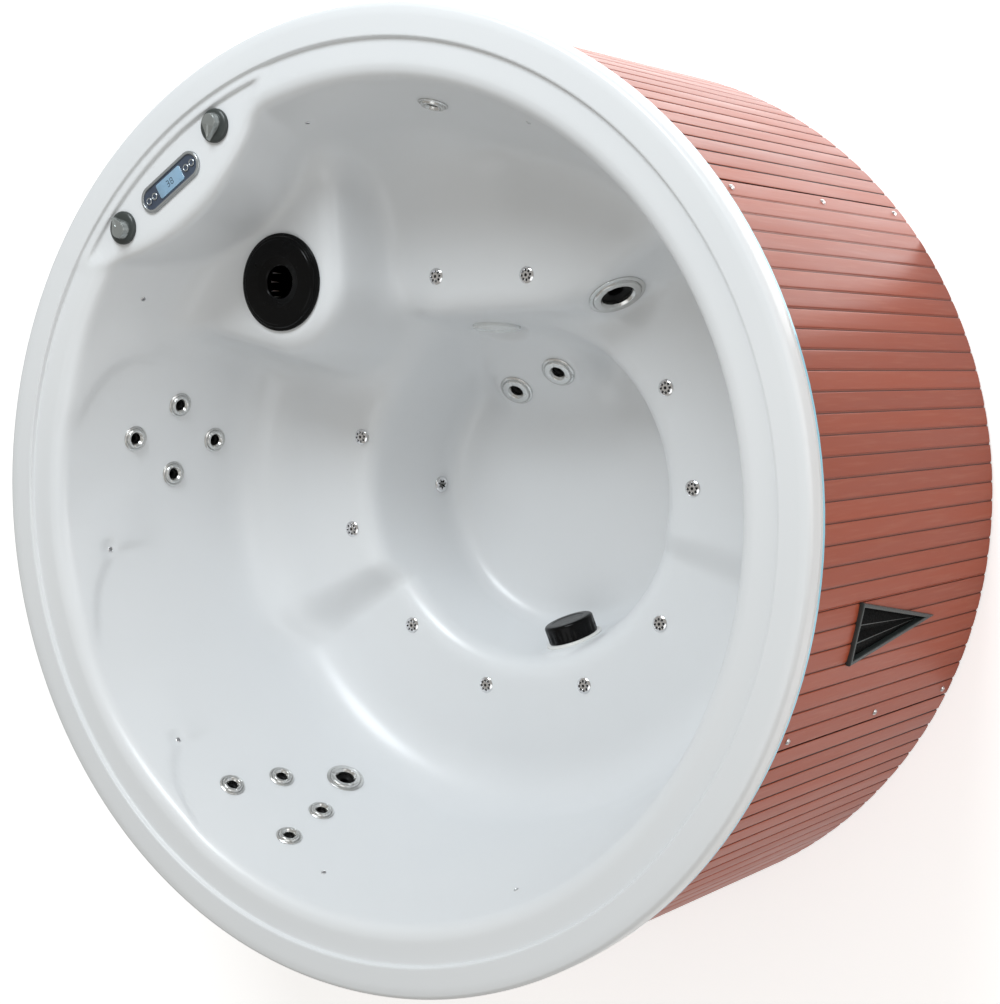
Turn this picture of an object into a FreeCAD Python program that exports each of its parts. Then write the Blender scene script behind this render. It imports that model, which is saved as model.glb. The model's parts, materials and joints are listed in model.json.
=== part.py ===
import FreeCAD, Part
import math
import os
import re
import Sketcher
from FreeCAD import Placement, Rotation, Vector

# Round acrylic hot tub. Millimetres, +Z up, origin at the middle of the base on the floor.
# +X points at the upper seat, -Y at the access panel; azimuths run from +X towards +Y.

doc = FreeCAD.newDocument("hot_tub")
sheet = doc.addObject("Spreadsheet::Sheet", "Dim")

# Driving dimensions, one cell each.
SIZES = {
    "tub_height": 945,
    "rim_radius": 1000,
    "shell_wall": 8,
    "rim_outer_band": 66,
    "rim_step_run": 4,
    "rim_step_drop": 9,
    "rim_inner_band": 55,
    "rim_inner_round": 25,
    "rim_outer_round": 14,
    "lip_drop": 48,
    "strip_height": 8,
    "strip_setback": 0.5,
    "wall_lean": 14.6,
    "low_seat_height": 350,
    "left_seat_height": 400,
    "right_seat_height": 372,
    "upper_seat_height": 530,
    "deck_height": 690,
    "shelf_drop": 5,
    "floor_height": 125,
    "floor_radius": 326,
    "footwell_radius": 382,
    "floor_round": 28,
    "footwell_round": 25,
    "seat_back_round": 70,
    "left_seat_start": 18,
    "left_seat_end": 112,
    "right_seat_start": -110,
    "right_seat_end": -38,
    "upper_front_reach": 399,
    "upper_front_azimuth": -4,
    "upper_end_reach": 232,
    "upper_end_azimuth": 25.5,
    "upper_side_reach": 150,
    "upper_edge_round": 26,
    "deck_flare": 37,
    "deck_margin": 42,
    "deck_edge_round": 26,
    "shelf_azimuth": 30,
    "shelf_inset": 252,
    "shelf_reach": "=rim_radius - shelf_inset",
    "shelf_bulge_radius": 530,
    "shelf_border": 88,
    "shelf_outer_radius": "=rim_radius - shelf_border",
    "shelf_edge_round": 16,
    "ramp_foot": 175,
    "ramp_angle": 40,
    "ramp_width": 310,
    "ramp_centre": 20,
    "running_gap": 0.3,
    "small_jet_radius": 29,
    "medium_jet_radius": 43,
    "neck_jet_radius": 32,
    "foot_jet_radius": 37,
    "large_jet_radius": 63.5,
    "large_jet_drop": 90,
    "large_jet_along": 72,
    "pad_margin": 3,
    "jet_face_height": 8,
    "jet_flange": 9,
    "jet_sleeve_depth": 20,
    "jet_back_wall": 4,
    "jet_tube_wall": 2.6,
    "jet_nut_flange": 12,
    "jet_nut_gap": 2.5,
    "jet_nut_height": 9.5,
    "jet_depth": 58,
    "return_jet_radius": 20,
    "injector_radius": 18,
    "injector_height": 5,
    "injector_hole_radius": 10,
    "injector_stem_depth": 25,
    "wall_light_radius": 6,
    "wall_light_shoulder": 1.5,
    "wall_light_depth": 24,
    "lens_radius": 54,
    "lens_height": 11,
    "lens_housing_radius": 44,
    "lens_housing_depth": 44,
    "lens_level": 350,
    "lens_offset": 19,
    "suction_height": 245,
    "suction_azimuth": -172,
    "suction_radius": 57.5,
    "suction_thickness": 42,
    "suction_flange_radius": 66,
    "suction_flange_thickness": 6,
    "suction_body_radius": 36,
    "suction_neck_radius": 30,
    "suction_bore_radius": 27,
    "suction_cover_wall": 4,
    "lid_radius": 108,
    "lid_thickness": 15,
    "lid_hole_radius": 36,
    "lid_inset": 382,
    "lid_reach": "=rim_radius - lid_inset",
    "lid_azimuth": 34.6,
    "canister_radius": 94,
    "canister_wall": 4,
    "canister_flange": 8,
    "canister_rim": 4,
    "basket_rim": 2,
    "canister_depth": 390,
    "cartridge_radius": 64,
    "cartridge_height": 300,
    "cartridge_bore": 22,
    "pleat_depth": 14,
    "pleat_cap": 10,
    "basket_depth": 38,
    "knob_radius": 36,
    "knob_height": 34,
    "knob_stem_radius": 12,
    "knob_stem_depth": 24,
    "upper_knob_inset": 127,
    "upper_knob_azimuth": 19.7,
    "lower_knob_inset": 130,
    "lower_knob_azimuth": 41.8,
    "valve_neck_radius": 18,
    "valve_depth": 78,
    "panel_length": 185,
    "panel_width": 60,
    "panel_height": 6,
    "panel_inset": 156,
    "panel_azimuth": 30.8,
    "panel_turn": 116,
    "bezel_width": 7,
    "plate_height": 2,
    "housing_inset": 10,
    "housing_depth": 26,
    "display_depth": 6,
    "display_length": 78,
    "display_width": 34,
    "button_radius": 8,
    "button_height": 4.4,
    "button_well": 8,
    "button_inner": 53,
    "button_outer": 72,
    "button_travel": 0.8,
    "lip_overhang": 20,
    "skirt_radius": "=rim_radius - lip_overhang",
    "skirt_thickness": 14,
    "skirt_bottom": 4,
    "skirt_tuck": 8,
    "skirt_top": "=tub_height - lip_drop + skirt_tuck",
    "slat_count": 154,
    "slat_groove": 4,
    "groove_depth": 5,
    "access_slats": 28,
    "access_azimuth": -89.25,
    "panel_seam": 3,
    "screw_low": 50,
    "screw_middle": 411,
    "screw_top_margin": 97,
    "screw_high": "=skirt_top - screw_top_margin",
    "screw_head_radius": 6.5,
    "screw_head_height": 4,
    "screw_radius": 2.5,
    "screw_length": 32,
    "vent_azimuth": -109.2,
    "vent_top": 660,
    "vent_drop": 385,
    "vent_half_width": 62.5,
    "vent_frame_width": 8,
    "vent_thickness": 8,
    "vent_back_plate": 3,
    "vent_pleat_rise": 17,
    "ring_width": 35,
    "ring_height": 40,
    "post_width": 40,
    "base_thickness": 10,
    "post_headroom": 13,
    "post_top": "=tub_height - rim_step_drop - shelf_drop - valve_depth - post_headroom",
    "support_radius": 245,
    "pump_height": 105,
    "pump_inset": 310,
    "pump_start": -160,
    "motor_radius": 72,
    "motor_length": 260,
    "volute_radius": 92,
    "volute_length": 100,
    "volute_wall": 14,
    "port_radius": 29,
    "port_length": 40,
    "shaft_radius": 8,
    "pipe_radius": 24,
    "pipe_wall": 3,
    "pipe_bend": 60,
    "hose_radius": 11,
    "manifold_clearance": 70,
    "manifold_height": 450,
    "heater_radius": 38,
    "heater_length": 320,
    "heater_height": 300,
    "channel_inner": 405,
    "channel_outer": 515,
    "channel_bottom": 250,
    "channel_height": 30,
    "channel_wall": 3,
    "blower_inset": 269,
    "blower_azimuth": -140,
    "blower_radius": 90,
    "blower_height": 180,
    "blower_wall": 4,
    "fan_radius": 68,
    "fan_height": 40,
    "box_inset": 353,
    "box_azimuth": -58.3,
    "box_length": 200,
    "box_width": 140,
    "box_height": 220,
    "gland_radius": 14,
    "gland_height": 40,
}
for row, (alias, value) in enumerate(SIZES.items(), 1):
    sheet.set(f"A{row}", alias.replace("_", " "))
    sheet.set(f"B{row}", str(value))
    sheet.setAlias(f"B{row}", alias)
doc.recompute()


def size(alias):
    return float(sheet.get(alias))


def bound(text):
    """The same expression written so that another object can read the sheet."""
    return re.sub(r"[a-z]+(_[a-z]+)+", lambda word: "Dim." + word.group(0), text)


def polar(reach, azimuth, height=0.0):
    angle = math.radians(azimuth)
    return Vector(reach * math.cos(angle), reach * math.sin(angle), height)


def facing(origin, normal, turn=0.0):
    """A placement whose local Z is the normal, turned about it."""
    spin = Rotation(Vector(0, 0, 1), turn)
    return Placement(origin, Rotation(Vector(0, 0, 1), normal).multiply(spin))


# Sketched pieces: each corner of a profile is a pair of sheet expressions.
def sketched(body, role, corners):
    plane = [f for f in body.Origin.OriginFeatures if f.Role == role][0]
    sketch = body.newObject("Sketcher::SketchObject", body.Name + "_profile")
    sketch.AttachmentSupport = (plane, [""])
    sketch.MapMode = "FlatFace"
    values = [[float(sheet.evalExpression(text)) for text in corner] for corner in corners]
    count = len(corners)
    for i in range(count):
        start = Vector(*values[i], 0)
        end = Vector(*values[(i + 1) % count], 0)
        sketch.addGeometry(Part.LineSegment(start, end), False)
    for i in range(count):
        sketch.addConstraint(Sketcher.Constraint("Coincident", i, 2, (i + 1) % count, 1))
    for i in range(count):
        for kind, axis, k in (("DistanceX", -2, 0), ("DistanceY", -1, 1)):
            if abs(values[i][k]) < 1e-9:
                sketch.addConstraint(Sketcher.Constraint("PointOnObject", i, 1, axis))
                continue
            datum = Sketcher.Constraint(kind, -1, 1, i, 1, values[i][k])
            number = sketch.addConstraint(datum)
            sketch.setExpression(f"Constraints[{number}]", bound(corners[i][k]))
    return sketch


def turned(name, corners):
    """A body of revolution about local Z; corners are radius and height."""
    body = doc.addObject("PartDesign::Body", name)
    sketch = sketched(body, "XZ_Plane", corners)
    turn = body.newObject("PartDesign::Revolution", name + "_turn")
    turn.Profile = sketch
    turn.ReferenceAxis = (sketch, ["V_Axis"])
    turn.Angle = 360
    doc.recompute()
    return body


def padded(name, corners, length):
    """A straight prism standing on the local XY plane."""
    body = doc.addObject("PartDesign::Body", name)
    sketch = sketched(body, "XY_Plane", corners)
    pad = body.newObject("PartDesign::Pad", name + "_pad")
    pad.Profile = sketch
    pad.setExpression("Length", bound(length))
    doc.recompute()
    return body


def feature(name, shape, placement=Placement()):
    piece = doc.addObject("Part::Feature", name)
    piece.Shape = shape
    piece.Placement = placement
    return piece


def moved(shape, placement):
    copy = shape.copy()
    copy.Placement = placement.multiply(copy.Placement)
    return copy


def cylinder(radius, low, high, placement=Placement()):
    return moved(Part.makeCylinder(radius, high - low, Vector(0, 0, low)), placement)


def rounded_wire(corners):
    """A closed wire through points, each corner rounded by its own radius."""
    bends = []
    count = len(corners)
    for i, (point, radius) in enumerate(corners):
        back = (corners[i - 1][0] - point).normalize()
        ahead = (corners[(i + 1) % count][0] - point).normalize()
        half = back.getAngle(ahead) / 2
        if radius == 0:
            bends.append((point, None, point))
            continue
        run = radius / math.tan(half)
        middle = point + (back + ahead).normalize() * (radius / math.sin(half) - radius)
        bends.append((point + back * run, middle, point + ahead * run))
    edges = []
    for i, (start, middle, end) in enumerate(bends):
        if middle is not None:
            edges.append(Part.Arc(start, middle, end).toShape())
        following = bends[(i + 1) % count][0]
        if (following - end).Length > 1e-6:
            edges.append(Part.LineSegment(end, following).toShape())
    return Part.Wire(edges)


def revolved(corners, start=0.0, sweep=360.0):
    """A solid of revolution about Z from rounded corners given as radius, height, rounding."""
    wire = rounded_wire([(Vector(r, 0, z), rounding) for r, z, rounding in corners])
    face = Part.Face(wire)
    face.rotate(Vector(), Vector(0, 0, 1), start)
    return face.revolve(Vector(), Vector(0, 0, 1), sweep)


def lofted(low_wire, high_wire):
    return Part.makeLoft([low_wire, high_wire], True, True)


def tube_along(points, radius, bend, wall=0.0):
    """A round pipe along straight runs joined by tangent bends, hollow where a wall is given."""
    edges = []
    last = points[0]
    for i in range(1, len(points) - 1):
        back = (points[i - 1] - points[i]).normalize()
        ahead = (points[i + 1] - points[i]).normalize()
        half = back.getAngle(ahead) / 2
        run = bend / math.tan(half)
        start = points[i] + back * run
        end = points[i] + ahead * run
        middle = points[i] + (back + ahead).normalize() * (bend / math.sin(half) - bend)
        edges.append(Part.LineSegment(last, start).toShape())
        edges.append(Part.Arc(start, middle, end).toShape())
        last = end
    edges.append(Part.LineSegment(last, points[-1]).toShape())
    spine = Part.Wire(edges)
    heading = points[1] - points[0]

    def swept(r):
        ring = Part.Wire(Part.makeCircle(r, points[0], heading))
        return spine.makePipeShell([ring], True, False)

    if wall == 0:
        return swept(radius)
    return swept(radius).cut(swept(radius - wall))


# Levels and slopes of the shell.
t = size("shell_wall")
gap = size("running_gap")
rim_top = size("tub_height")
inner_top = rim_top - size("rim_step_drop")
wall_top = inner_top - size("rim_inner_round")
step_outer = size("rim_radius") - size("rim_outer_band")
step_inner = step_outer - size("rim_step_run")
round_start = step_inner - size("rim_inner_band")
wall_top_radius = round_start - size("rim_inner_round")
lean = math.tan(math.radians(size("wall_lean")))
floor = size("floor_height")
seat = size("low_seat_height")
shelf_top = inner_top - size("shelf_drop")
footwell_slope = (size("footwell_radius") - size("floor_radius")) / (seat - floor)


def wall_radius(height):
    return wall_top_radius - lean * (wall_top - height)


def footwell_wall(height):
    return size("floor_radius") + footwell_slope * (height - floor)


UPPER_FRONT_LEAN = 0.13
ramp_slope = math.tan(math.radians(size("ramp_angle")))


def upper_front_x(height, y):
    """Where the leaning front face of the upper seat stands at a height and offset."""
    inward = polar(1, size("upper_front_azimuth"))
    reach = size("upper_front_reach") - UPPER_FRONT_LEAN * (size("upper_seat_height") - height)
    return (reach - inward.y * y) / inward.x


def alcove(growth):
    """The notch in the footwell wall over the jet ramp, back past the front of the upper seat."""
    half = size("ramp_width") / 2 - 1.5 * t + growth
    low = floor + 5 * t - growth
    top = size("left_seat_height")
    start = size("floor_radius") * 0.8
    back = upper_front_x(top, size("ramp_centre") + half) + 1.5 * t + growth
    return Part.makeBox(back - start, 2 * half, top - low, Vector(start, size("ramp_centre") - half, low))


def cavity(growth):
    """The water space below the rim, grown outwards by the given amount."""
    stretch_wall = growth * math.hypot(1, lean)
    stretch_well = growth * math.hypot(1, footwell_slope)
    low = floor - growth
    bench = seat - growth
    bowl = revolved([
        (0, low, 0),
        (footwell_wall(low) + stretch_well, low, size("floor_round") + growth),
        (footwell_wall(bench) + stretch_well, bench, size("footwell_round") - growth),
        (wall_radius(bench) + stretch_wall, bench, size("seat_back_round") + growth),
        (wall_top_radius + stretch_wall, wall_top, 0),
        (0, wall_top, 0),
    ])
    return bowl.fuse(alcove(growth))


# Rim: raised outer band, inward-facing step, lower inner band and a lip turned down outside.
def rim_solid():
    inset = size("rim_step_run") * 0.5
    outside = size("rim_radius")
    lip_low = rim_top - size("lip_drop")
    outer_round = size("rim_outer_round")
    inner_round = size("rim_inner_round")
    under = wall_top_radius + t * math.hypot(1, lean)
    return revolved([
        (wall_top_radius, wall_top, 0),
        (wall_top_radius, inner_top, inner_round),
        (step_inner, inner_top, 0),
        (step_outer, rim_top, 0),
        (outside, rim_top, outer_round),
        (outside, lip_low, 0),
        (outside - t, lip_low, 0),
        (outside - t, rim_top - t, outer_round - t),
        (step_outer + inset, rim_top - t, 0),
        (step_inner + inset, inner_top - t, 0),
        (under, inner_top - t, inner_round - t - 1),
        (under, wall_top, 0),
    ])


# Raised seats and decks. Each is a block standing in the cavity; the shell follows its skin.
# An inset of one wall thickness gives the hollow underneath.
def sector_block(height, start, end, inset):
    inner = size("footwell_radius") + inset
    swing = math.degrees(inset / inner)
    far = wall_radius(height) + 10 * t
    low = floor - 20 * t
    top = height - inset
    corners = [(inner, low, 0), (far, low, 0), (far, top, 0), (inner, top, size("footwell_round") - inset)]
    return revolved(corners, start + swing, end - start - 2 * swing)


UPPER_END_LEAN = 0.26
UPPER_SIDE_LEAN = 0.5


def side_line(azimuth, reach):
    """A plan line as the vector along its normal and its distance from the axis."""
    return polar(1, azimuth), reach


def crossing(first, second):
    (m, a), (n, b) = first, second
    det = m.x * n.y - m.y * n.x
    return (a * n.y - b * m.y) / det, (m.x * b - n.x * a) / det


def upper_seat_corners(height, inset):
    drop = size("upper_seat_height") - height
    front_reach = size("upper_front_reach") + inset - UPPER_FRONT_LEAN * drop
    end_reach = size("upper_end_reach") + inset - UPPER_END_LEAN * drop
    side_reach = inset - size("upper_side_reach") - UPPER_SIDE_LEAN * drop
    front = side_line(size("upper_front_azimuth"), front_reach)
    end = side_line(size("upper_end_azimuth"), end_reach)
    side = side_line(-90, side_reach)
    far = side_line(0, wall_top_radius)
    corners = [crossing(side, front), crossing(front, end), crossing(end, far), crossing(far, side)]
    return [Vector(x, y, height) for x, y in corners]


def upper_seat_block(inset, low):
    wires = []
    for height in (low, size("upper_seat_height")):
        corners = upper_seat_corners(height, inset)
        wires.append(Part.makePolygon(corners + corners[:1]))
    block = lofted(*wires)
    if inset == 0:
        return block
    return block.common(cylinder(2 * size("rim_radius"), low - t, size("upper_seat_height") - t))


DECK_LEAN = 0.2
lid_centre = polar(size("lid_reach"), size("lid_azimuth"))
deck_radius = size("lid_radius") + size("deck_margin")


def deck_wire(height, inset):
    radius = deck_radius - inset + DECK_LEAN * (size("deck_height") - height)
    centre = lid_centre + Vector(0, 0, height)
    right = polar(1, size("lid_azimuth") - size("deck_flare"))
    left = polar(1, size("lid_azimuth") + size("deck_flare"))
    right_touch = centre + Vector(right.y, -right.x, 0) * radius
    left_touch = centre + Vector(-left.y, left.x, 0) * radius
    nose = centre - polar(radius, size("lid_azimuth"))
    far = size("rim_radius") * 0.5
    outline = [right_touch, right_touch + right * far, left_touch + left * far, left_touch]
    edges = [Part.LineSegment(a, b).toShape() for a, b in zip(outline, outline[1:])]
    edges.append(Part.Arc(left_touch, nose, right_touch).toShape())
    return Part.Wire(edges)


def deck_block(inset, low):
    top = size("deck_height") - inset
    return lofted(deck_wire(low, inset), deck_wire(top, inset))


shelf_centre = polar(size("shelf_reach") + size("shelf_bulge_radius"), size("shelf_azimuth"))


def shelf_block(inset):
    middle = Placement(shelf_centre, Rotation())
    return cylinder(size("shelf_bulge_radius") - inset, seat, shelf_top - inset, middle)


def ramp_block(inset):
    foot = size("ramp_foot") + inset * math.hypot(1, 1 / ramp_slope)
    far = size("footwell_radius") + 10 * t
    low = floor - 10 * t
    half = size("ramp_width") / 2 - inset
    middle = size("ramp_centre")
    corners = [
        Vector(foot - (floor - low) / ramp_slope, middle - half, low),
        Vector(far, middle - half, low),
        Vector(far, middle - half, floor + (far - foot) * ramp_slope),
    ]
    return Part.Face(Part.makePolygon(corners + corners[:1])).extrude(Vector(0, 2 * half, 0))


def top_edges(block, height, reach):
    """Edges of the top face that lie over the water, for rounding."""
    chosen = []
    for edge in block.Edges:
        box = edge.BoundBox
        middle = edge.valueAt((edge.FirstParameter + edge.LastParameter) / 2)
        level = abs(box.ZMin - height) < 1e-6 and abs(box.ZMax - height) < 1e-6
        if level and math.hypot(middle.x, middle.y) < reach:
            chosen.append(edge)
    return chosen


def build_shell():
    water = cavity(0)
    middle_skin = cavity(t / 2)
    shell = cavity(t).cut(water).fuse(rim_solid())
    upper = upper_seat_block(0, floor)
    upper_edges = top_edges(upper, size("upper_seat_height"), 0.7 * wall_radius(size("upper_seat_height")))
    upper = upper.makeFillet(size("upper_edge_round"), upper_edges[:2])
    deck = deck_block(0, seat)
    deck_edges = top_edges(deck, size("deck_height"), size("lid_reach") + deck_radius)
    deck = deck.makeFillet(size("deck_edge_round"), deck_edges)
    shelf = shelf_block(0)
    rim_edge = [edge for edge in shelf.Edges if abs(edge.BoundBox.ZMin - shelf_top) < 1e-6]
    shelf = shelf.makeFillet(size("shelf_edge_round"), rim_edge)
    shelf_room = cylinder(size("shelf_outer_radius"), wall_top - t / 2, shelf_top).fuse(middle_skin)
    recess = cylinder(size("shelf_bulge_radius"), shelf_top, rim_top, Placement(shelf_centre, Rotation()))
    recess = recess.common(cylinder(size("shelf_outer_radius"), shelf_top, rim_top))
    left_range = (size("left_seat_height"), size("left_seat_start"), size("left_seat_end"))
    right_range = (size("right_seat_height"), size("right_seat_start"), size("right_seat_end"))
    skins = [
        sector_block(*left_range, 0).common(middle_skin),
        sector_block(*right_range, 0).common(middle_skin),
        upper.common(middle_skin),
        deck.common(middle_skin),
        shelf.common(shelf_room),
        ramp_block(0).common(middle_skin),
    ]
    hollows = [
        sector_block(*left_range, t),
        sector_block(*right_range, t),
        upper_seat_block(t, floor - 10 * t),
        deck_block(t, floor - 10 * t),
        shelf_block(t).common(cylinder(size("shelf_outer_radius") - t, 0, shelf_top)),
        ramp_block(t),
    ]
    shell = shell.cut(recess)
    for skin in skins:
        shell = shell.fuse(skin)
    for hollow in hollows:
        shell = shell.cut(hollow)
    return shell


# Where fittings sit: local Z points into the water.
def on_wall(azimuth, share):
    """A seat on the leaning wall, at a share of its height above the low seat."""
    height = seat + share * (wall_top - seat)
    normal = polar(-1, azimuth, lean).normalize()
    return facing(polar(wall_radius(height), azimuth, height), normal)


def on_footwell(azimuth, height):
    normal = polar(-1, azimuth, footwell_slope).normalize()
    return facing(polar(footwell_wall(height), azimuth, height), normal)


def on_upper_end(height, along):
    corner = upper_seat_corners(height, 0)[1]
    inward = polar(1, size("upper_end_azimuth"))
    normal = Vector(-inward.x, -inward.y, UPPER_END_LEAN).normalize()
    return facing(corner + Vector(inward.y, -inward.x, 0) * along, normal)


def on_upper_front(height, offset):
    inward = polar(1, size("upper_front_azimuth"))
    normal = Vector(-inward.x, -inward.y, UPPER_FRONT_LEAN).normalize()
    return facing(Vector(upper_front_x(height, offset), offset, height), normal)


def on_ramp(x, y):
    tilt = math.radians(size("ramp_angle"))
    normal = Vector(-math.sin(tilt), 0, math.cos(tilt))
    return facing(Vector(x, y, floor + (x - size("ramp_foot")) * ramp_slope), normal)


# Jets: name, face radius, seat on the shell, azimuth where the hose meets the manifold.
WALL_JETS = [
    ("jet_left_top", "small_jet_radius", on_wall(75.5, 0.706), 79),
    ("jet_left_front", "small_jet_radius", on_wall(69.5, 0.519), 69.5),
    ("jet_left_back", "small_jet_radius", on_wall(81.5, 0.519), 83),
    ("jet_left_low", "small_jet_radius", on_wall(75.5, 0.330), 75.5),
    ("jet_low_top_front", "small_jet_radius", on_wall(137.1, 0.756), 135),
    ("jet_low_top_back", "small_jet_radius", on_wall(150.4, 0.756), 153),
    ("jet_low_mid_front", "small_jet_radius", on_wall(139.6, 0.549), 139),
    ("jet_low_mid_back", "small_jet_radius", on_wall(149.2, 0.549), 150.5),
    ("jet_low_medium", "medium_jet_radius", on_wall(145.7, 0.330), 145.7),
    ("jet_neck", "neck_jet_radius", on_wall(-11.8, 0.786), -11.8),
]
large_jet_height = size("upper_seat_height") - size("large_jet_drop")
LARGE_JET = ("jet_large", "large_jet_radius", on_upper_end(large_jet_height, size("large_jet_along")), -30)
FOOT_JETS = [
    ("jet_foot_left", "foot_jet_radius", on_ramp(239, 92), 6.5),
    ("jet_foot_right", "foot_jet_radius", on_ramp(268, -42), -3),
]
FOOT_JET_NAMES = [name for name, _, _, _ in FOOT_JETS]
JETS = WALL_JETS + [LARGE_JET] + FOOT_JETS
return_jet_seat = on_footwell(84, 175)
WALL_LIGHT_AZIMUTHS = [9.8, 52.2, 93.3, 126.2, 160.2, 195.1, 229, 263, 296, 330.5]
WALL_LIGHT_SHARE = 0.829
wall_light_seats = [on_wall(azimuth, WALL_LIGHT_SHARE) for azimuth in WALL_LIGHT_AZIMUTHS]
INJECTORS = [
    (487, 47, "upper_seat_height"),
    (459, -188, "upper_seat_height"),
    (193, -413, "right_seat_height"),
    (-26, -456, "right_seat_height"),
    (-312, -334, "low_seat_height"),
    (-442, -127, "low_seat_height"),
    (-434, 136, "low_seat_height"),
    (-289, 331, "low_seat_height"),
    (-52, 444, "left_seat_height"),
    (161, 393, "left_seat_height"),
]
injector_seats = [Placement(Vector(x, y, size(level)), Rotation()) for x, y, level in INJECTORS]
lens_seat = on_upper_front(size("lens_level"), size("lens_offset"))
suction_seat = on_footwell(size("suction_azimuth"), size("suction_height"))
lid_seat = Placement(lid_centre + Vector(0, 0, size("deck_height")), Rotation())
rim_radius = size("rim_radius")
upright = Rotation()
knob_seats = [
    Placement(polar(rim_radius - size("upper_knob_inset"), size("upper_knob_azimuth"), shelf_top), upright),
    Placement(polar(rim_radius - size("lower_knob_inset"), size("lower_knob_azimuth"), shelf_top), upright),
]
panel_centre = polar(rim_radius - size("panel_inset"), size("panel_azimuth"), shelf_top)
panel_seat = facing(panel_centre, Vector(0, 0, 1), size("panel_turn"))
wall_light_stem = size("wall_light_radius") - size("wall_light_shoulder")


def stadium(length, width, low, high):
    half = (length - width) / 2
    block = Part.makeBox(2 * half, width, high - low, Vector(-half, -width / 2, low))
    for x in (-half, half):
        block = block.fuse(Part.makeCylinder(width / 2, high - low, Vector(x, 0, low)))
    return block.removeSplitter()


def flat_pad(seat_placement, radius, wall_curve):
    """A flat spot on a curved wall for a flange, and the space over it to clear."""
    rise = radius * radius / (2 * wall_curve) + gap
    return cylinder(radius, -t / 2, rise, seat_placement), rise


def lifted(seat_placement, rise):
    return seat_placement.multiply(Placement(Vector(0, 0, rise), Rotation()))


# Acrylic shell with a flat pad and a hole for every fitting.
pads = []
holes = []
jet_seats = {name: seat_placement for name, _, seat_placement, _ in JETS}
margin = size("pad_margin")
for name, face_radius, seat_placement, _ in WALL_JETS:
    pad, rise = flat_pad(seat_placement, size(face_radius) + margin, wall_radius(seat_placement.Base.z))
    pads.append(pad)
    jet_seats[name] = lifted(seat_placement, rise)
for name, face_radius, _, _ in JETS:
    holes.append(cylinder(size(face_radius) - size("jet_flange"), -3 * t, 2 * t, jet_seats[name]))
return_pad = size("return_jet_radius") + margin
pad, rise = flat_pad(return_jet_seat, return_pad, footwell_wall(return_jet_seat.Base.z))
pads.append(pad)
return_jet_seat = lifted(return_jet_seat, rise)
holes.append(cylinder(size("return_jet_radius") - size("jet_flange"), -3 * t, 2 * t, return_jet_seat))
suction_pad = size("suction_flange_radius") + margin
pad, rise = flat_pad(suction_seat, suction_pad, footwell_wall(size("suction_height")))
pads.append(pad)
suction_seat = lifted(suction_seat, rise)
suction_back = -t - rise - 2 * gap
holes.append(cylinder(size("suction_neck_radius"), -4 * t, 2 * t, suction_seat))
for i, light_seat in enumerate(wall_light_seats):
    pad, rise = flat_pad(light_seat, size("wall_light_radius") + margin, wall_radius(light_seat.Base.z))
    pads.append(pad)
    wall_light_seats[i] = lifted(light_seat, rise)
    holes.append(cylinder(wall_light_stem + gap, -3 * t, 2 * t, wall_light_seats[i]))
for injector_seat in injector_seats:
    holes.append(cylinder(size("injector_hole_radius"), -2 * t, t, injector_seat))
holes.append(cylinder(size("lens_housing_radius") + gap, -3 * t, 2 * t, lens_seat))
holes.append(cylinder(size("canister_radius") + gap, -2 * t, 2 * t, lid_seat))
for knob_seat in knob_seats:
    holes.append(cylinder(size("valve_neck_radius") + gap, -2 * t, t, knob_seat))
cutout_inset = 2 * size("housing_inset")
panel_cutout = stadium(size("panel_length") - cutout_inset, size("panel_width") - cutout_inset, -2 * t, t)
holes.append(moved(panel_cutout, panel_seat))

shell = build_shell()
for pad in pads:
    shell = shell.fuse(pad)
shell = shell.cut(Part.makeCompound(holes))
feature("acrylic_shell", shell)

# Thin edge strip bonded under the lip.
turned("lip_edge_strip", [
    ("rim_radius - shell_wall", "tub_height - lip_drop - strip_height"),
    ("rim_radius - strip_setback", "tub_height - lip_drop - strip_height"),
    ("rim_radius - strip_setback", "tub_height - lip_drop"),
    ("rim_radius - shell_wall", "tub_height - lip_drop"),
])


# Turning jet faces: a domed ring with grip scallops and a sleeve that plugs into the body.
def jet_radii(face_radius):
    hole = size(face_radius) - size("jet_flange")
    tube = hole - gap
    bore = tube - size("jet_tube_wall")
    sleeve = bore - gap
    mouth = sleeve - size("jet_tube_wall")
    return hole, tube, bore, sleeve, mouth


def jet_face(face_radius):
    outer = size(face_radius)
    hole, tube, bore, sleeve, mouth = jet_radii(face_radius)
    height = size("jet_face_height")
    sleeve_end = -size("jet_sleeve_depth")
    ring = revolved([
        (mouth, sleeve_end, 0),
        (sleeve, sleeve_end, 0),
        (sleeve, gap, 0),
        (outer, gap, 0),
        (outer, 2, 0),
        (outer - 5, height, 3),
        (mouth + 2, height - 2, 1),
        (mouth, height - 4, 0),
    ])
    for step in range(3):
        spot = Placement(polar(outer - 5, 120 * step), Rotation())
        ring = ring.cut(cylinder(outer * 0.09, height - 3, 2 * height, spot))
    return ring


def jet_nozzle(face_radius):
    hole, tube, bore, sleeve, mouth = jet_radii(face_radius)
    back = size("jet_back_wall") - size("jet_depth")
    shoulder = -size("jet_sleeve_depth") - 4
    snug = gap / 3
    core = mouth - gap
    jet_hole = core * 0.45
    return revolved([
        (jet_hole, back, 0),
        (bore - snug, back, 0),
        (bore - snug, shoulder, 0),
        (core, shoulder, 0),
        (core, 0, 0),
        (core - 1.5, 1.5, 0),
        (jet_hole + 2, -3, 0),
        (jet_hole, -8, 0),
    ])


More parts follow.
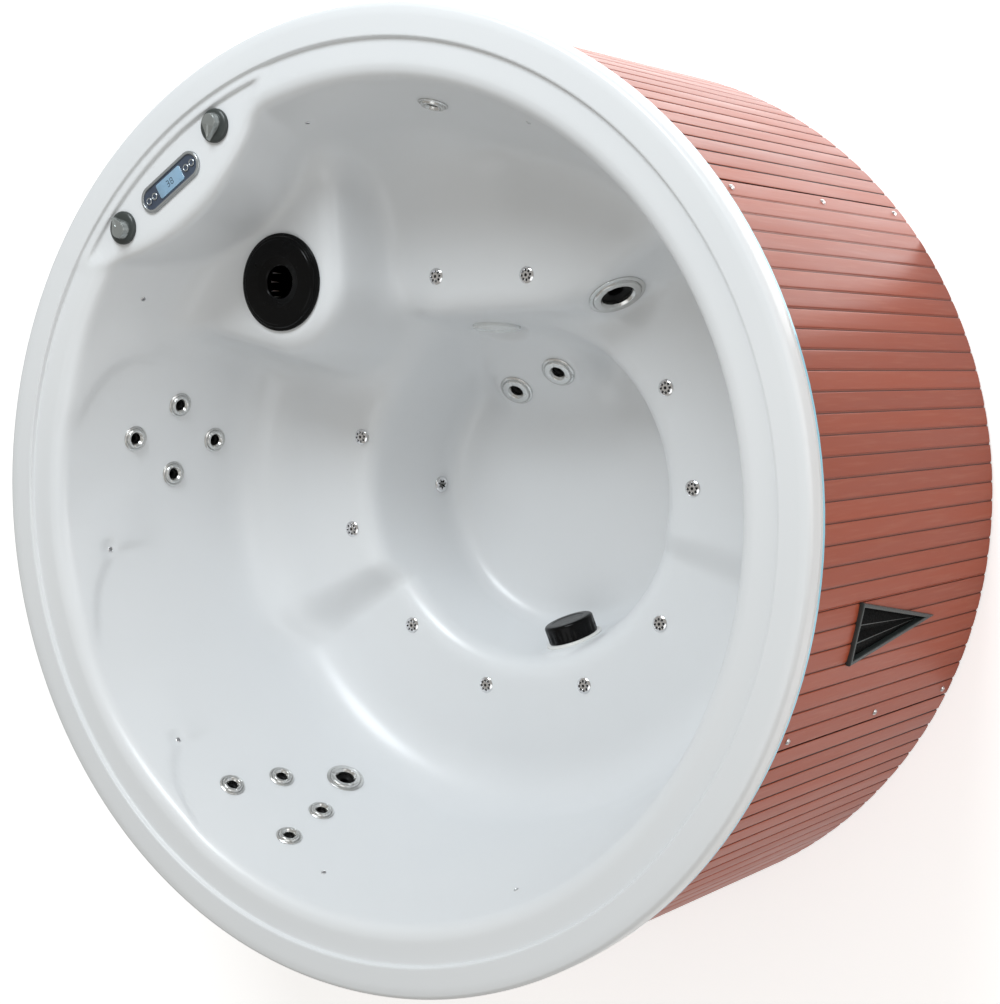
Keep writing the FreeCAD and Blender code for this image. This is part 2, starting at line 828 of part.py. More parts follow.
def jet_body(face_radius):
    hole, tube, bore, sleeve, mouth = jet_radii(face_radius)
    depth = size("jet_depth")
    back = size("jet_back_wall") - depth
    nut_top = -t - size("jet_nut_gap")
    nut_low = nut_top - size("jet_nut_height")
    nut = hole + size("jet_nut_flange")
    return revolved([
        (0, -depth, 0),
        (tube, -depth, 0),
        (tube, nut_low, 0),
        (nut, nut_low, 0),
        (nut, nut_top, 0),
        (tube, nut_top, 0),
        (tube, 0, 0),
        (bore, 0, 0),
        (bore, back, 0),
        (0, back, 0),
    ])


jet_bodies = []
for name, face_radius, _, _ in JETS:
    feature(name, jet_face(face_radius), jet_seats[name])
    jet_bodies.append(moved(jet_body(face_radius), jet_seats[name]))
nozzles = [moved(jet_nozzle(face_radius), jet_seats[name]) for name, face_radius, _, _ in JETS]
feature("jet_bodies", Part.makeCompound(jet_bodies))
feature("jet_nozzles", Part.makeCompound(nozzles))

# Small fixed return jet in the footwell wall.
return_jet = turned("return_jet", [
    ("(return_jet_radius - jet_flange) * 0.5", "-jet_depth * 0.7"),
    ("return_jet_radius - jet_flange - running_gap", "-jet_depth * 0.7"),
    ("return_jet_radius - jet_flange - running_gap", "0"),
    ("return_jet_radius", "0"),
    ("return_jet_radius - 3", "4"),
    ("return_jet_radius - jet_flange", "5"),
    ("(return_jet_radius - jet_flange) * 0.5", "2"),
])
return_jet.Placement = return_jet_seat

# Air injectors: chrome caps ringed with small holes, over bodies that run down to the air channel.
channel_top = size("channel_bottom") + size("channel_height")
injector_stem = size("injector_hole_radius") - gap - 2
cap = revolved([
    (0, -size("injector_stem_depth"), 0),
    (injector_stem, -size("injector_stem_depth"), 0),
    (injector_stem, 0, 0),
    (size("injector_radius"), 0, 0),
    (size("injector_radius") - 2, size("injector_height") - 2, 0),
    (size("injector_radius") - 6, size("injector_height"), 0),
    (0, size("injector_height"), 0),
])
for step in range(8):
    spot = polar(size("injector_radius") * 0.6, 45 * step)
    cap = cap.cut(cylinder(1.5, -1, 2 * size("injector_height"), Placement(spot, Rotation())))
feature("air_injector_caps", Part.makeCompound([moved(cap, seat_at) for seat_at in injector_seats]))


def injector_body(seat_at):
    length = seat_at.Base.z - channel_top
    outer = size("injector_hole_radius") - gap
    bore = injector_stem + gap / 3
    return moved(revolved([
        (bore, -length, 0),
        (outer, -length, 0),
        (outer, -t - 8, 0),
        (outer + 8, -t - 8, 0),
        (outer + 8, -t, 0),
        (outer, -t, 0),
        (outer, 0, 0),
        (bore, 0, 0),
    ]), seat_at)


injector_bodies = [injector_body(seat_at) for seat_at in injector_seats]

# Hollow air channel under the seats.
channel_wall = size("channel_wall")
channel = revolved([
    (size("channel_inner"), size("channel_bottom"), 0),
    (size("channel_outer"), size("channel_bottom"), 0),
    (size("channel_outer"), channel_top, 0),
    (size("channel_inner"), channel_top, 0),
])
channel = channel.cut(revolved([
    (size("channel_inner") + channel_wall, size("channel_bottom") + channel_wall, 0),
    (size("channel_outer") - channel_wall, size("channel_bottom") + channel_wall, 0),
    (size("channel_outer") - channel_wall, channel_top - channel_wall, 0),
    (size("channel_inner") + channel_wall, channel_top - channel_wall, 0),
]))
feeds = []
for seat_at in injector_seats:
    spot = Vector(seat_at.Base.x, seat_at.Base.y, channel_top)
    feeds.append(cylinder(injector_stem, -2 * channel_wall, channel_wall, Placement(spot, Rotation())))

# Small wall lights: a domed lens with a stem through the wall.
light = turned("wall_light_master", [
    ("0", "-wall_light_depth"),
    ("wall_light_radius - wall_light_shoulder", "-wall_light_depth"),
    ("wall_light_radius - wall_light_shoulder", "0"),
    ("wall_light_radius", "0"),
    ("wall_light_radius - 1", "2"),
    ("wall_light_radius - 3.5", "3"),
    ("0", "3.4"),
])
feature("wall_lights", Part.makeCompound([moved(light.Shape, seat_at) for seat_at in wall_light_seats]))

# Footwell light: clear domed lens on a housing sunk in the front of the upper seat.
lens = turned("light_lens", [
    ("0", "0"),
    ("lens_radius", "0"),
    ("lens_radius", "3"),
    ("lens_radius - 7", "lens_height - 3"),
    ("lens_radius - 20", "lens_height"),
    ("0", "lens_height"),
])
lens.Placement = lens_seat
housing = turned("light_housing", [
    ("0", "-lens_housing_depth"),
    ("lens_housing_radius - 12", "-lens_housing_depth"),
    ("lens_housing_radius", "-lens_housing_depth + 14"),
    ("lens_housing_radius", "0"),
    ("lens_housing_radius - 3", "0"),
    ("lens_housing_radius - 8", "-lens_housing_depth + 10"),
    ("0", "-lens_housing_depth + 4"),
])
housing.Placement = lens_seat

# Suction: white flange, black slotted cover and the body behind the wall.
flange = turned("suction_flange", [
    ("suction_bore_radius", "0"),
    ("suction_flange_radius", "0"),
    ("suction_flange_radius", "suction_flange_thickness - 3"),
    ("suction_flange_radius - 4", "suction_flange_thickness"),
    ("suction_bore_radius", "suction_flange_thickness"),
])
flange.Placement = suction_seat
cover_radius = size("suction_radius")
cover_low = size("suction_flange_thickness")
cover_top = cover_low + size("suction_thickness")
cover_wall = size("suction_cover_wall")
cover = revolved([
    (0, cover_top - cover_wall, 0),
    (0, cover_top, 0),
    (cover_radius, cover_top, 12),
    (cover_radius, cover_low, 0),
    (cover_radius - cover_wall, cover_low, 0),
    (cover_radius - cover_wall, cover_top - cover_wall, 12 - cover_wall),
])
slots = []
for step in range(20):
    slot_low = Vector(cover_radius - 2 * cover_wall, -2.5, cover_low + 2 * cover_wall)
    slot = Part.makeBox(3 * cover_wall, 5, size("suction_thickness") * 0.45, slot_low)
    slots.append(moved(slot, Placement(Vector(), Rotation(Vector(0, 0, 1), 18 * step))))
feature("suction_cover", cover.cut(Part.makeCompound(slots)), suction_seat)
suction_end = suction_back - 2 * t
suction_neck = size("suction_neck_radius") - gap
suction_bore = size("suction_bore_radius")
suction_body = revolved([
    (0, suction_end, 0),
    (size("suction_body_radius"), suction_end, 0),
    (size("suction_body_radius"), suction_back, 0),
    (suction_neck, suction_back, 0),
    (suction_neck, 0, 0),
    (suction_bore, 0, 0),
    (suction_bore, suction_end + size("pipe_wall"), 0),
    (0, suction_end + size("pipe_wall"), 0),
])
feature("suction_body", suction_body, suction_seat)

# Filter: canister hung through the deck, basket, pleated cartridge and the lid with its hole.
canister = turned("filter_canister", [
    ("0", "-canister_depth"),
    ("canister_radius", "-canister_depth"),
    ("canister_radius", "0"),
    ("canister_radius + canister_flange", "0"),
    ("canister_radius + canister_flange", "canister_rim"),
    ("canister_radius - canister_wall", "canister_rim"),
    ("canister_radius - canister_wall", "-canister_depth + canister_wall"),
    ("0", "-canister_depth + canister_wall"),
])
canister.Placement = lid_seat
basket = turned("filter_basket", [
    ("canister_radius - canister_wall - 30", "canister_rim - basket_depth"),
    ("canister_radius - canister_wall - 4", "canister_rim - basket_depth"),
    ("canister_radius - canister_wall - 1", "canister_rim"),
    ("canister_radius + canister_flange / 2", "canister_rim"),
    ("canister_radius + canister_flange / 2", "canister_rim + basket_rim"),
    ("canister_radius - canister_wall - 3", "canister_rim + basket_rim"),
    ("canister_radius - canister_wall - 6", "canister_rim + basket_rim - basket_depth"),
    ("canister_radius - canister_wall - 30", "canister_rim + basket_rim - basket_depth"),
])
basket.Placement = lid_seat
PLEATS = 48
cartridge_radius = size("cartridge_radius")
cartridge_height = size("cartridge_height")
pleat_points = []
for step in range(2 * PLEATS):
    reach = cartridge_radius - 2 - size("pleat_depth") * (step % 2)
    pleat_points.append(polar(reach, 180.0 * step / PLEATS))
cartridge_low = size("canister_wall") - size("canister_depth")
pleat_outline = Part.Face(Part.makePolygon(pleat_points + pleat_points[:1]))
cartridge = pleat_outline.extrude(Vector(0, 0, cartridge_height))
cartridge = cartridge.fuse(cylinder(cartridge_radius, 0, size("pleat_cap")))
cartridge = cartridge.fuse(cylinder(cartridge_radius, cartridge_height - size("pleat_cap"), cartridge_height))
cartridge = cartridge.cut(cylinder(size("cartridge_bore"), -1, cartridge_height + 1))
feature("filter_cartridge", cartridge, lifted(lid_seat, cartridge_low))
lid = turned("filter_lid", [
    ("lid_hole_radius", "canister_rim + basket_rim + running_gap"),
    ("canister_radius + canister_flange + 1", "canister_rim + basket_rim + running_gap"),
    ("canister_radius + canister_flange + 1", "running_gap"),
    ("lid_radius", "running_gap"),
    ("lid_radius", "lid_thickness * 0.5"),
    ("lid_radius - 5", "lid_thickness * 0.5 + 2"),
    ("lid_radius - 9", "lid_thickness - 2"),
    ("lid_radius - 14", "lid_thickness"),
    ("lid_hole_radius + 18", "lid_thickness"),
    ("lid_hole_radius + 3", "lid_thickness - 4"),
    ("lid_hole_radius", "lid_thickness - 6"),
])
lid.Placement = lid_seat

# Air control knobs: a round skirt with a raised pointer, stem turning in a valve body.
knob_radius = size("knob_radius")
knob_stem = size("knob_stem_radius")
stem_end = -size("knob_stem_depth")
valve_neck = size("valve_neck_radius")
knob_skirt = revolved([
    (0, stem_end, 0),
    (knob_stem, stem_end, 0),
    (knob_stem, gap, 0),
    (knob_radius, gap, 0),
    (knob_radius, 5, 0),
    (knob_radius - 6, 12, 3),
    (0, 14, 0),
])
pointer_half = knob_radius * 0.24
pointer_low = 8
pointer_outline = rounded_wire([
    (Vector(-knob_radius + 6, -pointer_half * 1.5, pointer_low), 6),
    (Vector(knob_radius - 3, -pointer_half * 0.7, pointer_low), 4),
    (Vector(knob_radius - 3, pointer_half * 0.7, pointer_low), 4),
    (Vector(-knob_radius + 6, pointer_half * 1.5, pointer_low), 6),
])
pointer = Part.Face(pointer_outline).extrude(Vector(0, 0, size("knob_height") - pointer_low))
knob = knob_skirt.fuse(pointer)
valve = revolved([
    (0, -size("valve_depth"), 0),
    (valve_neck + 6, -size("valve_depth"), 0),
    (valve_neck + 6, -t, 0),
    (valve_neck, -t, 0),
    (valve_neck, 0, 0),
    (knob_stem + gap, 0, 0),
    (knob_stem + gap, stem_end - 2, 0),
    (0, stem_end - 2, 0),
])
POINTER_TURNS = {"air_knob_upper": 200, "air_knob_lower": 215}
for (name, turn), knob_seat in zip(POINTER_TURNS.items(), knob_seats):
    feature(name, knob, knob_seat.multiply(Placement(Vector(), Rotation(Vector(0, 0, 1), turn))))
feature("air_valve_bodies", Part.makeCompound([moved(valve, knob_seat) for knob_seat in knob_seats]))

# Control panel: oval bezel, sunken housing with the face plate, display window and four buttons.
panel_length = size("panel_length")
panel_width = size("panel_width")
panel_height = size("panel_height")
plate_top = size("plate_height")
bezel = stadium(panel_length, panel_width, 0, panel_height)
outer_rim = [edge for edge in bezel.Edges if abs(edge.BoundBox.ZMin - panel_height) < 1e-6]
bezel = bezel.makeFillet(3, outer_rim)
mouth_inset = 2 * size("bezel_width")
bezel = bezel.cut(stadium(panel_length - mouth_inset, panel_width - mouth_inset, -1, panel_height + 1))
feature("panel_bezel", bezel, panel_seat)
plate_inset = mouth_inset + 2 * gap
sunk_inset = cutout_inset + 2 * gap
plate = stadium(panel_length - plate_inset, panel_width - plate_inset, 0, plate_top)
plate = plate.fuse(stadium(panel_length - sunk_inset, panel_width - sunk_inset, -size("housing_depth"), 0))


def display_block(growth, high):
    half_length = size("display_length") / 2 + growth
    half_width = size("display_width") / 2 + growth
    low = Vector(-half_length, -half_width, -size("display_depth"))
    return Part.makeBox(2 * half_length, 2 * half_width, high + size("display_depth"), low)


BUTTON_SPOTS = [-size("button_outer"), -size("button_inner"), size("button_inner"), size("button_outer")]
well_radius = size("button_radius") + gap
plate = plate.cut(display_block(gap, 2 * plate_top))
for x in BUTTON_SPOTS:
    spot = Placement(Vector(x, 0, 0), Rotation())
    plate = plate.cut(cylinder(well_radius, -size("button_well"), 2 * plate_top, spot))
feature("panel_housing", plate, panel_seat)
feature("display_window", display_block(0, plate_top + 2 * gap), panel_seat)
for number, x in enumerate(BUTTON_SPOTS, 1):
    button = turned(f"panel_button_{number}", [
        ("0", "button_travel + running_gap - button_well"),
        ("button_radius", "button_travel + running_gap - button_well"),
        ("button_radius", "button_height - 1.4"),
        ("button_radius - 1.5", "button_height - 0.4"),
        ("0", "button_height"),
    ])
    button.Placement = panel_seat.multiply(Placement(Vector(x, 0, 0), Rotation()))

# Base pan, footwell support, frame rings and posts.
pan = doc.addObject("Part::Cylinder", "base_pan")
pan.setExpression("Radius", "Dim.skirt_radius - Dim.skirt_thickness - 4 * Dim.running_gap")
pan.setExpression("Height", "Dim.base_thickness")
support = doc.addObject("Part::Cylinder", "footwell_support")
support.setExpression("Radius", "Dim.support_radius")
support.setExpression("Height", "Dim.floor_height - Dim.shell_wall - Dim.base_thickness")
support.Placement = Placement(Vector(0, 0, size("base_thickness")), Rotation())

base_top = size("base_thickness")
ring_outer = size("skirt_radius") - size("skirt_thickness") - gap
ring_inner = ring_outer - size("ring_width")
ring_levels = [
    (base_top, size("screw_low") + size("ring_height") / 2),
    (size("screw_middle") - size("ring_height") / 2, size("screw_middle") + size("ring_height") / 2),
    (size("screw_high") - size("ring_height") / 2, inner_top - t - gap),
]
rings = []
for low, high in ring_levels:
    rings.append(cylinder(ring_outer, low, high).cut(cylinder(ring_inner, low - 1, high + 1)))

pitch = 360.0 / size("slat_count")
access_span = size("access_slats") * pitch
side_slats = int(size("slat_count") - size("access_slats")) // 3
access_start = size("access_azimuth") - access_span / 2
PANELS = [
    ("access_panel", access_start, int(size("access_slats"))),
    ("skirt_panel_left", access_start + access_span, side_slats),
    ("skirt_panel_rear", access_start + access_span + side_slats * pitch, side_slats),
    ("skirt_panel_right", access_start + access_span + 2 * side_slats * pitch, side_slats),
]
post_azimuths = [start for _, start, _ in PANELS]
for _, start, slats in PANELS[1:]:
    post_azimuths += [start + slats * pitch / 3, start + slats * pitch * 2 / 3]
post_face = ring_inner - 2 * gap
post_width = size("post_width")
posts = []
for azimuth in post_azimuths:
    corner = Vector(post_face - post_width, -post_width / 2, base_top)
    post = Part.makeBox(post_width, post_width, size("post_top") - base_top, corner)
    post.rotate(Vector(), Vector(0, 0, 1), azimuth)
    posts.append(post)


# Skirt panels: upright slats with dark grooves between them on a common backing.
skirt_radius = size("skirt_radius")
half_seam = math.degrees(size("panel_seam") / 2 / skirt_radius)
half_groove = math.degrees(size("slat_groove") / 2 / skirt_radius)


def slat_edges(start, slats, i):
    """Azimuths of the two edges of one slat; the end slats stop at the seams."""
    first = start + i * pitch + (half_seam if i == 0 else half_groove)
    last = start + (i + 1) * pitch - (half_seam if i == slats - 1 else half_groove)
    return first, last


def skirt_panel(start, slats):
    bottom = skirt_radius - size("groove_depth")
    inner = skirt_radius - size("skirt_thickness")
    low = size("skirt_bottom")
    points = []
    for i in range(slats):
        first, last = slat_edges(start, slats, i)
        if i > 0:
            points.append(polar(bottom, first, low))
        points.append(polar(skirt_radius, first, low))
        points.append(polar(skirt_radius, last, low))
        if i < slats - 1:
            points.append(polar(bottom, last, low))
    first = start + half_seam
    last = start + slats * pitch - half_seam
    edges = [Part.LineSegment(a, b).toShape() for a, b in zip(points, points[1:])]
    inner_first = polar(inner, first, low)
    inner_last = polar(inner, last, low)
    edges.append(Part.LineSegment(points[-1], inner_last).toShape())
    edges.append(Part.Arc(inner_last, polar(inner, (first + last) / 2, low), inner_first).toShape())
    edges.append(Part.LineSegment(inner_first, points[0]).toShape())
    return Part.Face(Part.Wire(edges)).extrude(Vector(0, 0, size("skirt_top") - low))


# Screws: pan heads on the end slats of the access panel, three to a row.
screw = revolved([
    (0, -size("screw_length"), 0),
    (size("screw_radius"), -size("screw_length"), 0),
    (size("screw_radius"), 0, 0),
    (size("screw_head_radius"), 0, 0),
    (size("screw_head_radius"), 1, 0),
    (size("screw_head_radius") - 2, size("screw_head_height"), 0),
    (0, size("screw_head_height"), 0),
])
recess_cut = Part.makeBox(7, 1.6, 3, Vector(-3.5, -0.8, size("screw_head_height") - 1.6))
screw = screw.cut(recess_cut).cut(moved(recess_cut, Placement(Vector(), Rotation(Vector(0, 0, 1), 90))))
screw_seats = []
_, start, slats = PANELS[0]
for i in (0, slats - 1):
    first, last = slat_edges(start, slats, i)
    middle = (first + last) / 2
    slat_face = skirt_radius * math.cos(math.radians(last - middle)) + gap / 3
    for level in ("screw_low", "screw_middle", "screw_high"):
        screw_seats.append(facing(polar(slat_face, middle, size(level)), polar(1, middle)))
hole_radius = size("screw_radius") + gap / 3
hole_depth = 2 * size("screw_length")
screw_holes = Part.makeCompound([cylinder(hole_radius, -hole_depth, t, spot) for spot in screw_seats])
feature("skirt_screws", Part.makeCompound([moved(screw, seat_at) for seat_at in screw_seats]))
feature("frame_rings", Part.makeCompound([ring.cut(screw_holes) for ring in rings]))
feature("frame_posts", Part.makeCompound([post.cut(screw_holes) for post in posts]))


# Vent: a triangle pointing down, framed, with pleats that fan out from its tip.
def vent_corners(inset):
    """Half width at the top edge and height of the tip of the triangle, set in from its outline."""
    half = size("vent_half_width")
    drop = size("vent_drop")
    tip = inset * math.hypot(half, drop) / half - drop
    return (-inset - tip) * half / drop, tip


def vent_prism(inset, low, high):
    side, tip = vent_corners(inset)
    corners = [Vector(-side, -inset, low), Vector(side, -inset, low), Vector(0, tip, low)]
    return Part.Face(Part.makePolygon(corners + corners[:1])).extrude(Vector(0, 0, high - low))


def vent_pleats(inset, low, rise):
    """Two ridges over a thin plate, all running together at the tip."""
    side, tip = vent_corners(inset)
    plate = low + size("vent_back_plate")
    ridge = plate + rise
    section = [(-1, low), (1, low), (1, plate), (1 / 3, ridge), (0, plate), (-1 / 3, ridge), (-1, plate)]
    top = [Vector(share * side, -inset, out) for share, out in section]
    foot = Vector(0, tip, low)
    faces = [Part.Face(Part.makePolygon(top + top[:1]))]
    for first, second in zip(top, top[1:] + top[:1]):
        faces.append(Part.Face(Part.makePolygon([first, second, foot, first])))
    return Part.makeSolid(Part.makeShell(faces))


vent_out = polar(1, size("vent_azimuth"))
vent_rotation = Rotation(Vector(-vent_out.y, vent_out.x, 0), Vector(0, 0, 1), vent_out, "ZXY")
vent_seat = Placement(polar(skirt_radius, size("vent_azimuth"), size("vent_top")), vent_rotation)
frame_width = size("vent_frame_width")
sleeve_inset = frame_width * 0.5
vent_frame = vent_prism(0, 0, size("vent_thickness"))
vent_frame = vent_frame.fuse(vent_prism(sleeve_inset, -size("skirt_thickness"), 0))
vent_frame = vent_frame.cut(vent_prism(frame_width, -3 * size("skirt_thickness"), 2 * size("vent_thickness")))
feature("vent_frame", vent_frame, vent_seat)
vent_back = -size("skirt_thickness")
feature("vent_louvres", vent_pleats(frame_width + gap, vent_back, size("vent_pleat_rise")), vent_seat)
vent_opening = moved(vent_prism(sleeve_inset - gap, -5 * size("skirt_thickness"), 1), vent_seat)
for name, start, slats in PANELS:
    panel = skirt_panel(start, slats).cut(screw_holes)
    if name == "access_panel":
        panel = panel.cut(vent_opening)
    feature(name, panel)

# Pump lying along X behind the access panel: motor on its foot, volute and impeller with shaft.
pump_y = size("pump_inset") - rim_radius
pump_height = size("pump_height")
along_x = Rotation(Vector(0, 0, 1), Vector(1, 0, 0))
pump_seat = Placement(Vector(size("pump_start"), pump_y, pump_height), along_x)
motor_radius = size("motor_radius")
motor_length = size("motor_length")
motor_start = size("volute_length")
motor_end = motor_start + motor_length
shaft_radius = size("shaft_radius")
shaft_bore = shaft_radius + gap
shaft_end = motor_end - 45
motor = cylinder(motor_radius, motor_start, motor_end)
motor = motor.cut(cylinder(shaft_bore, motor_start - 1, shaft_end + 5))
for step in range(18):
    fin = Part.makeBox(5, 3, motor_length - 60, Vector(motor_radius - 1, -1.5, motor_start + 30))
    fin.rotate(Vector(), Vector(0, 0, 1), 20 * step)
    motor = motor.fuse(fin)
motor = moved(motor, pump_seat)
foot_half = motor_radius - 17
foot_low = Vector(pump_seat.Base.x + motor_start + 40, pump_y - foot_half, base_top)
foot_height = pump_height - base_top - 0.55 * motor_radius
motor = motor.fuse(Part.makeBox(motor_length - 80, 2 * foot_half, foot_height, foot_low))
feature("pump_motor", motor)
volute_wall = size("volute_wall")
volute_length = size("volute_length")
room_radius = size("volute_radius") - volute_wall
port_radius = size("port_radius")
port_bore = size("pipe_radius") - 2
port_length = size("port_length")
outlet = Placement(Vector(0, 0, volute_length / 2), Rotation(Vector(0, 0, 1), Vector(-1, 0, 0)))
outlet_end = size("volute_radius") + 30
volute = cylinder(size("volute_radius"), 0, volute_length)
volute = volute.fuse(cylinder(port_radius, -port_length, 0))
volute = volute.fuse(cylinder(port_radius, 0, outlet_end, outlet))
volute = volute.cut(cylinder(room_radius, volute_wall, volute_length - volute_wall))
volute = volute.cut(cylinder(port_bore, -port_length - 1, volute_wall + 1))
volute = volute.cut(cylinder(port_bore, 0, outlet_end + 1, outlet))
volute = volute.cut(cylinder(shaft_bore, volute_wall, volute_length + 1))
feature("pump_volute", volute, pump_seat)
impeller_low = volute_wall + 8
impeller_radius = room_radius - 6
impeller = cylinder(impeller_radius, impeller_low, impeller_low + 6)
impeller = impeller.fuse(cylinder(shaft_radius, impeller_low, shaft_end))
for step in range(6):
    vane_low = Vector(shaft_radius - 2, -2, impeller_low + 4)
    vane = Part.makeBox(impeller_radius - shaft_radius, 4, 30, vane_low)
    vane.rotate(Vector(), Vector(0, 0, 1), 60 * step)
    impeller = impeller.fuse(vane)
feature("pump_impeller", impeller, pump_seat)

# Blower: round housing with a fan on an upright shaft.
blower_reach = rim_radius - size("blower_inset")
blower_seat = Placement(polar(blower_reach, size("blower_azimuth"), base_top), Rotation())
blower = turned("blower_housing", [
    ("shaft_radius + running_gap", "0"),
    ("blower_radius", "0"),
    ("blower_radius", "blower_height - 20"),
    ("blower_radius - 20", "blower_height"),
    ("0", "blower_height"),
    ("0", "blower_height - blower_wall"),
    ("blower_radius - 20", "blower_height - blower_wall"),
    ("blower_radius - blower_wall", "blower_height - 24"),
    ("blower_radius - blower_wall", "blower_wall"),
    ("shaft_radius + 10", "blower_wall"),
    ("shaft_radius + 10", "blower_height * 0.4"),
    ("shaft_radius + running_gap", "blower_height * 0.4"),
])
blower.Placement = blower_seat
fan_low = size("blower_height") * 0.4 + 10
fan = cylinder(size("fan_radius"), fan_low, fan_low + 4)
fan = fan.fuse(cylinder(shaft_radius, size("blower_wall"), fan_low + size("fan_height")))
for step in range(12):
    blade = Part.makeBox(24, 3, size("fan_height"), Vector(size("fan_radius") - 26, -1.5, fan_low + 2))
    blade.rotate(Vector(), Vector(0, 0, 1), 30 * step)
    fan = fan.fuse(blade)
feature("blower_fan", fan, blower_seat)

# Heater tube over the pump and the control box beside it.
heater = doc.addObject("Part::Cylinder", "heater_outer")
heater.setExpression("Radius", "Dim.heater_radius")
heater.setExpression("Height", "Dim.heater_length")
heater_bore = doc.addObject("Part::Cylinder", "heater_bore")
heater_bore.setExpression("Radius", "Dim.heater_radius - Dim.pipe_wall")
heater_bore.setExpression("Height", "Dim.heater_length - 2 * Dim.pipe_wall")
heater_bore.Placement = Placement(Vector(0, 0, size("pipe_wall")), Rotation())
heater_tube = doc.addObject("Part::Cut", "heater")
heater_tube.Base = heater
heater_tube.Tool = heater_bore
outlet_x = pump_seat.Base.x + size("volute_length") / 2
heater_start = Vector(outlet_x - size("heater_radius"), pump_y, size("heater_height"))
heater_tube.Placement = Placement(heater_start, along_x)
box = padded("control_box", [
    ("-box_length / 2", "-box_width / 2"),
    ("box_length / 2", "-box_width / 2"),
    ("box_length / 2", "box_width / 2"),
    ("-box_length / 2", "box_width / 2"),
], "box_height")
box_place = polar(rim_radius - size("box_inset"), size("box_azimuth"), base_top)
box.Placement = Placement(box_place, Rotation())
gland = turned("power_gland", [
    ("gland_radius * 0.4", "0"),
    ("gland_radius", "0"),
    ("gland_radius", "8"),
    ("gland_radius - 3", "12"),
    ("gland_radius - 3", "20"),
    ("gland_radius * 0.4", "20"),
])
gland_spot = box_place + Vector(size("box_length") / 2, 0, size("gland_height"))
gland.Placement = facing(gland_spot, Vector(1, 0, 0))

# Water pipes: filter and suction line to the pump, heater line and the ring manifold with its hoses.
doc.recompute()
pipe_radius = size("pipe_radius")
pipe_wall = size("pipe_wall")
bend = size("pipe_bend")
manifold_height = size("manifold_height")
manifold_radius = wall_radius(manifold_height) + size("manifold_clearance")
canister_low = lid_seat.Base + Vector(0, 0, -size("canister_depth"))
branch_top = suction_seat.multVec(Vector(0, 0, suction_back - t))
corner_left = Vector(branch_top.x, lid_centre.y, pump_height)
suction_line = tube_along([
    canister_low,
    Vector(lid_centre.x, lid_centre.y, pump_height),
    corner_left,
    Vector(branch_top.x, pump_y, pump_height),
    Vector(pump_seat.Base.x - port_length, pump_y, pump_height),
], pipe_radius, bend, pipe_wall)
line_start = Vector(branch_top.x, 0, pump_height)
line_core = Part.makeCylinder(pipe_radius, -pump_y, line_start, Vector(0, -1, 0))
branch_low = Vector(branch_top.x, branch_top.y, pump_height)
branch = Part.makeCylinder(pipe_radius * 2 / 3, branch_top.z - pump_height, branch_low)
branch = branch.cut(line_core).cut(cylinder(size("suction_body_radius"), suction_end, 0, suction_seat))
manifold = Part.makeTorus(manifold_radius, pipe_radius, Vector(0, 0, manifold_height))
riser_low = pump_seat.Base.z + outlet_end
riser = Part.makeCylinder(pipe_radius, size("heater_height") - riser_low, Vector(outlet_x, pump_y, riser_low))
riser = riser.cut(cylinder(size("heater_radius"), 0, size("heater_length"), heater_tube.Placement))
heater_end = heater_start + Vector(size("heater_length"), 0, 0)
rise_x = math.sqrt(manifold_radius ** 2 - pump_y ** 2)
heater_line = tube_along([
    heater_end,
    Vector(rise_x, pump_y, size("heater_height")),
    Vector(rise_x, pump_y, manifold_height),
], pipe_radius - 2, bend).cut(manifold)
hoses = []
jet_depth = size("jet_depth")
hose_bend = 30
for name, face_radius, _, target in JETS:
    seat_at = jet_seats[name]
    body_core = cylinder(jet_radii(face_radius)[1], -jet_depth, 0, seat_at)
    joint = polar(manifold_radius, target, manifold_height)
    side_port = seat_at.multVec(Vector(0, 0, 16 - jet_depth))
    back_port = seat_at.multVec(Vector(0, 0, 2 - jet_depth))
    behind = seat_at.multVec(Vector(0, 0, -jet_depth - 2 * hose_bend))
    path = [side_port, joint]
    if name == "jet_large":
        path = [back_port, behind, joint]
    elif name in FOOT_JET_NAMES:
        path = [back_port, behind, Vector(joint.x, joint.y, behind.z), joint]
    hoses.append(tube_along(path, size("hose_radius"), hose_bend).cut(body_core).cut(manifold))
pipes = [suction_line, branch, manifold, riser, heater_line] + hoses
feature("water_pipes", Part.makeCompound(pipes))
air_top = blower_seat.Base + Vector(0, 0, size("blower_height"))
air_level = size("channel_bottom") + size("channel_height") / 2
toward = Vector(-air_top.x, -air_top.y, 0).normalize()
channel_side = -toward * (size("channel_outer") - 10)
air_pipe = tube_along([
    air_top,
    Vector(air_top.x, air_top.y, air_level),
    Vector(channel_side.x, channel_side.y, air_level),
], 13, 40).cut(cylinder(size("channel_outer"), size("channel_bottom"), channel_top))
channel = channel.cut(Part.makeCompound(feeds))
feature("air_channel", Part.makeCompound([channel, air_pipe] + injector_bodies))
doc.recompute()

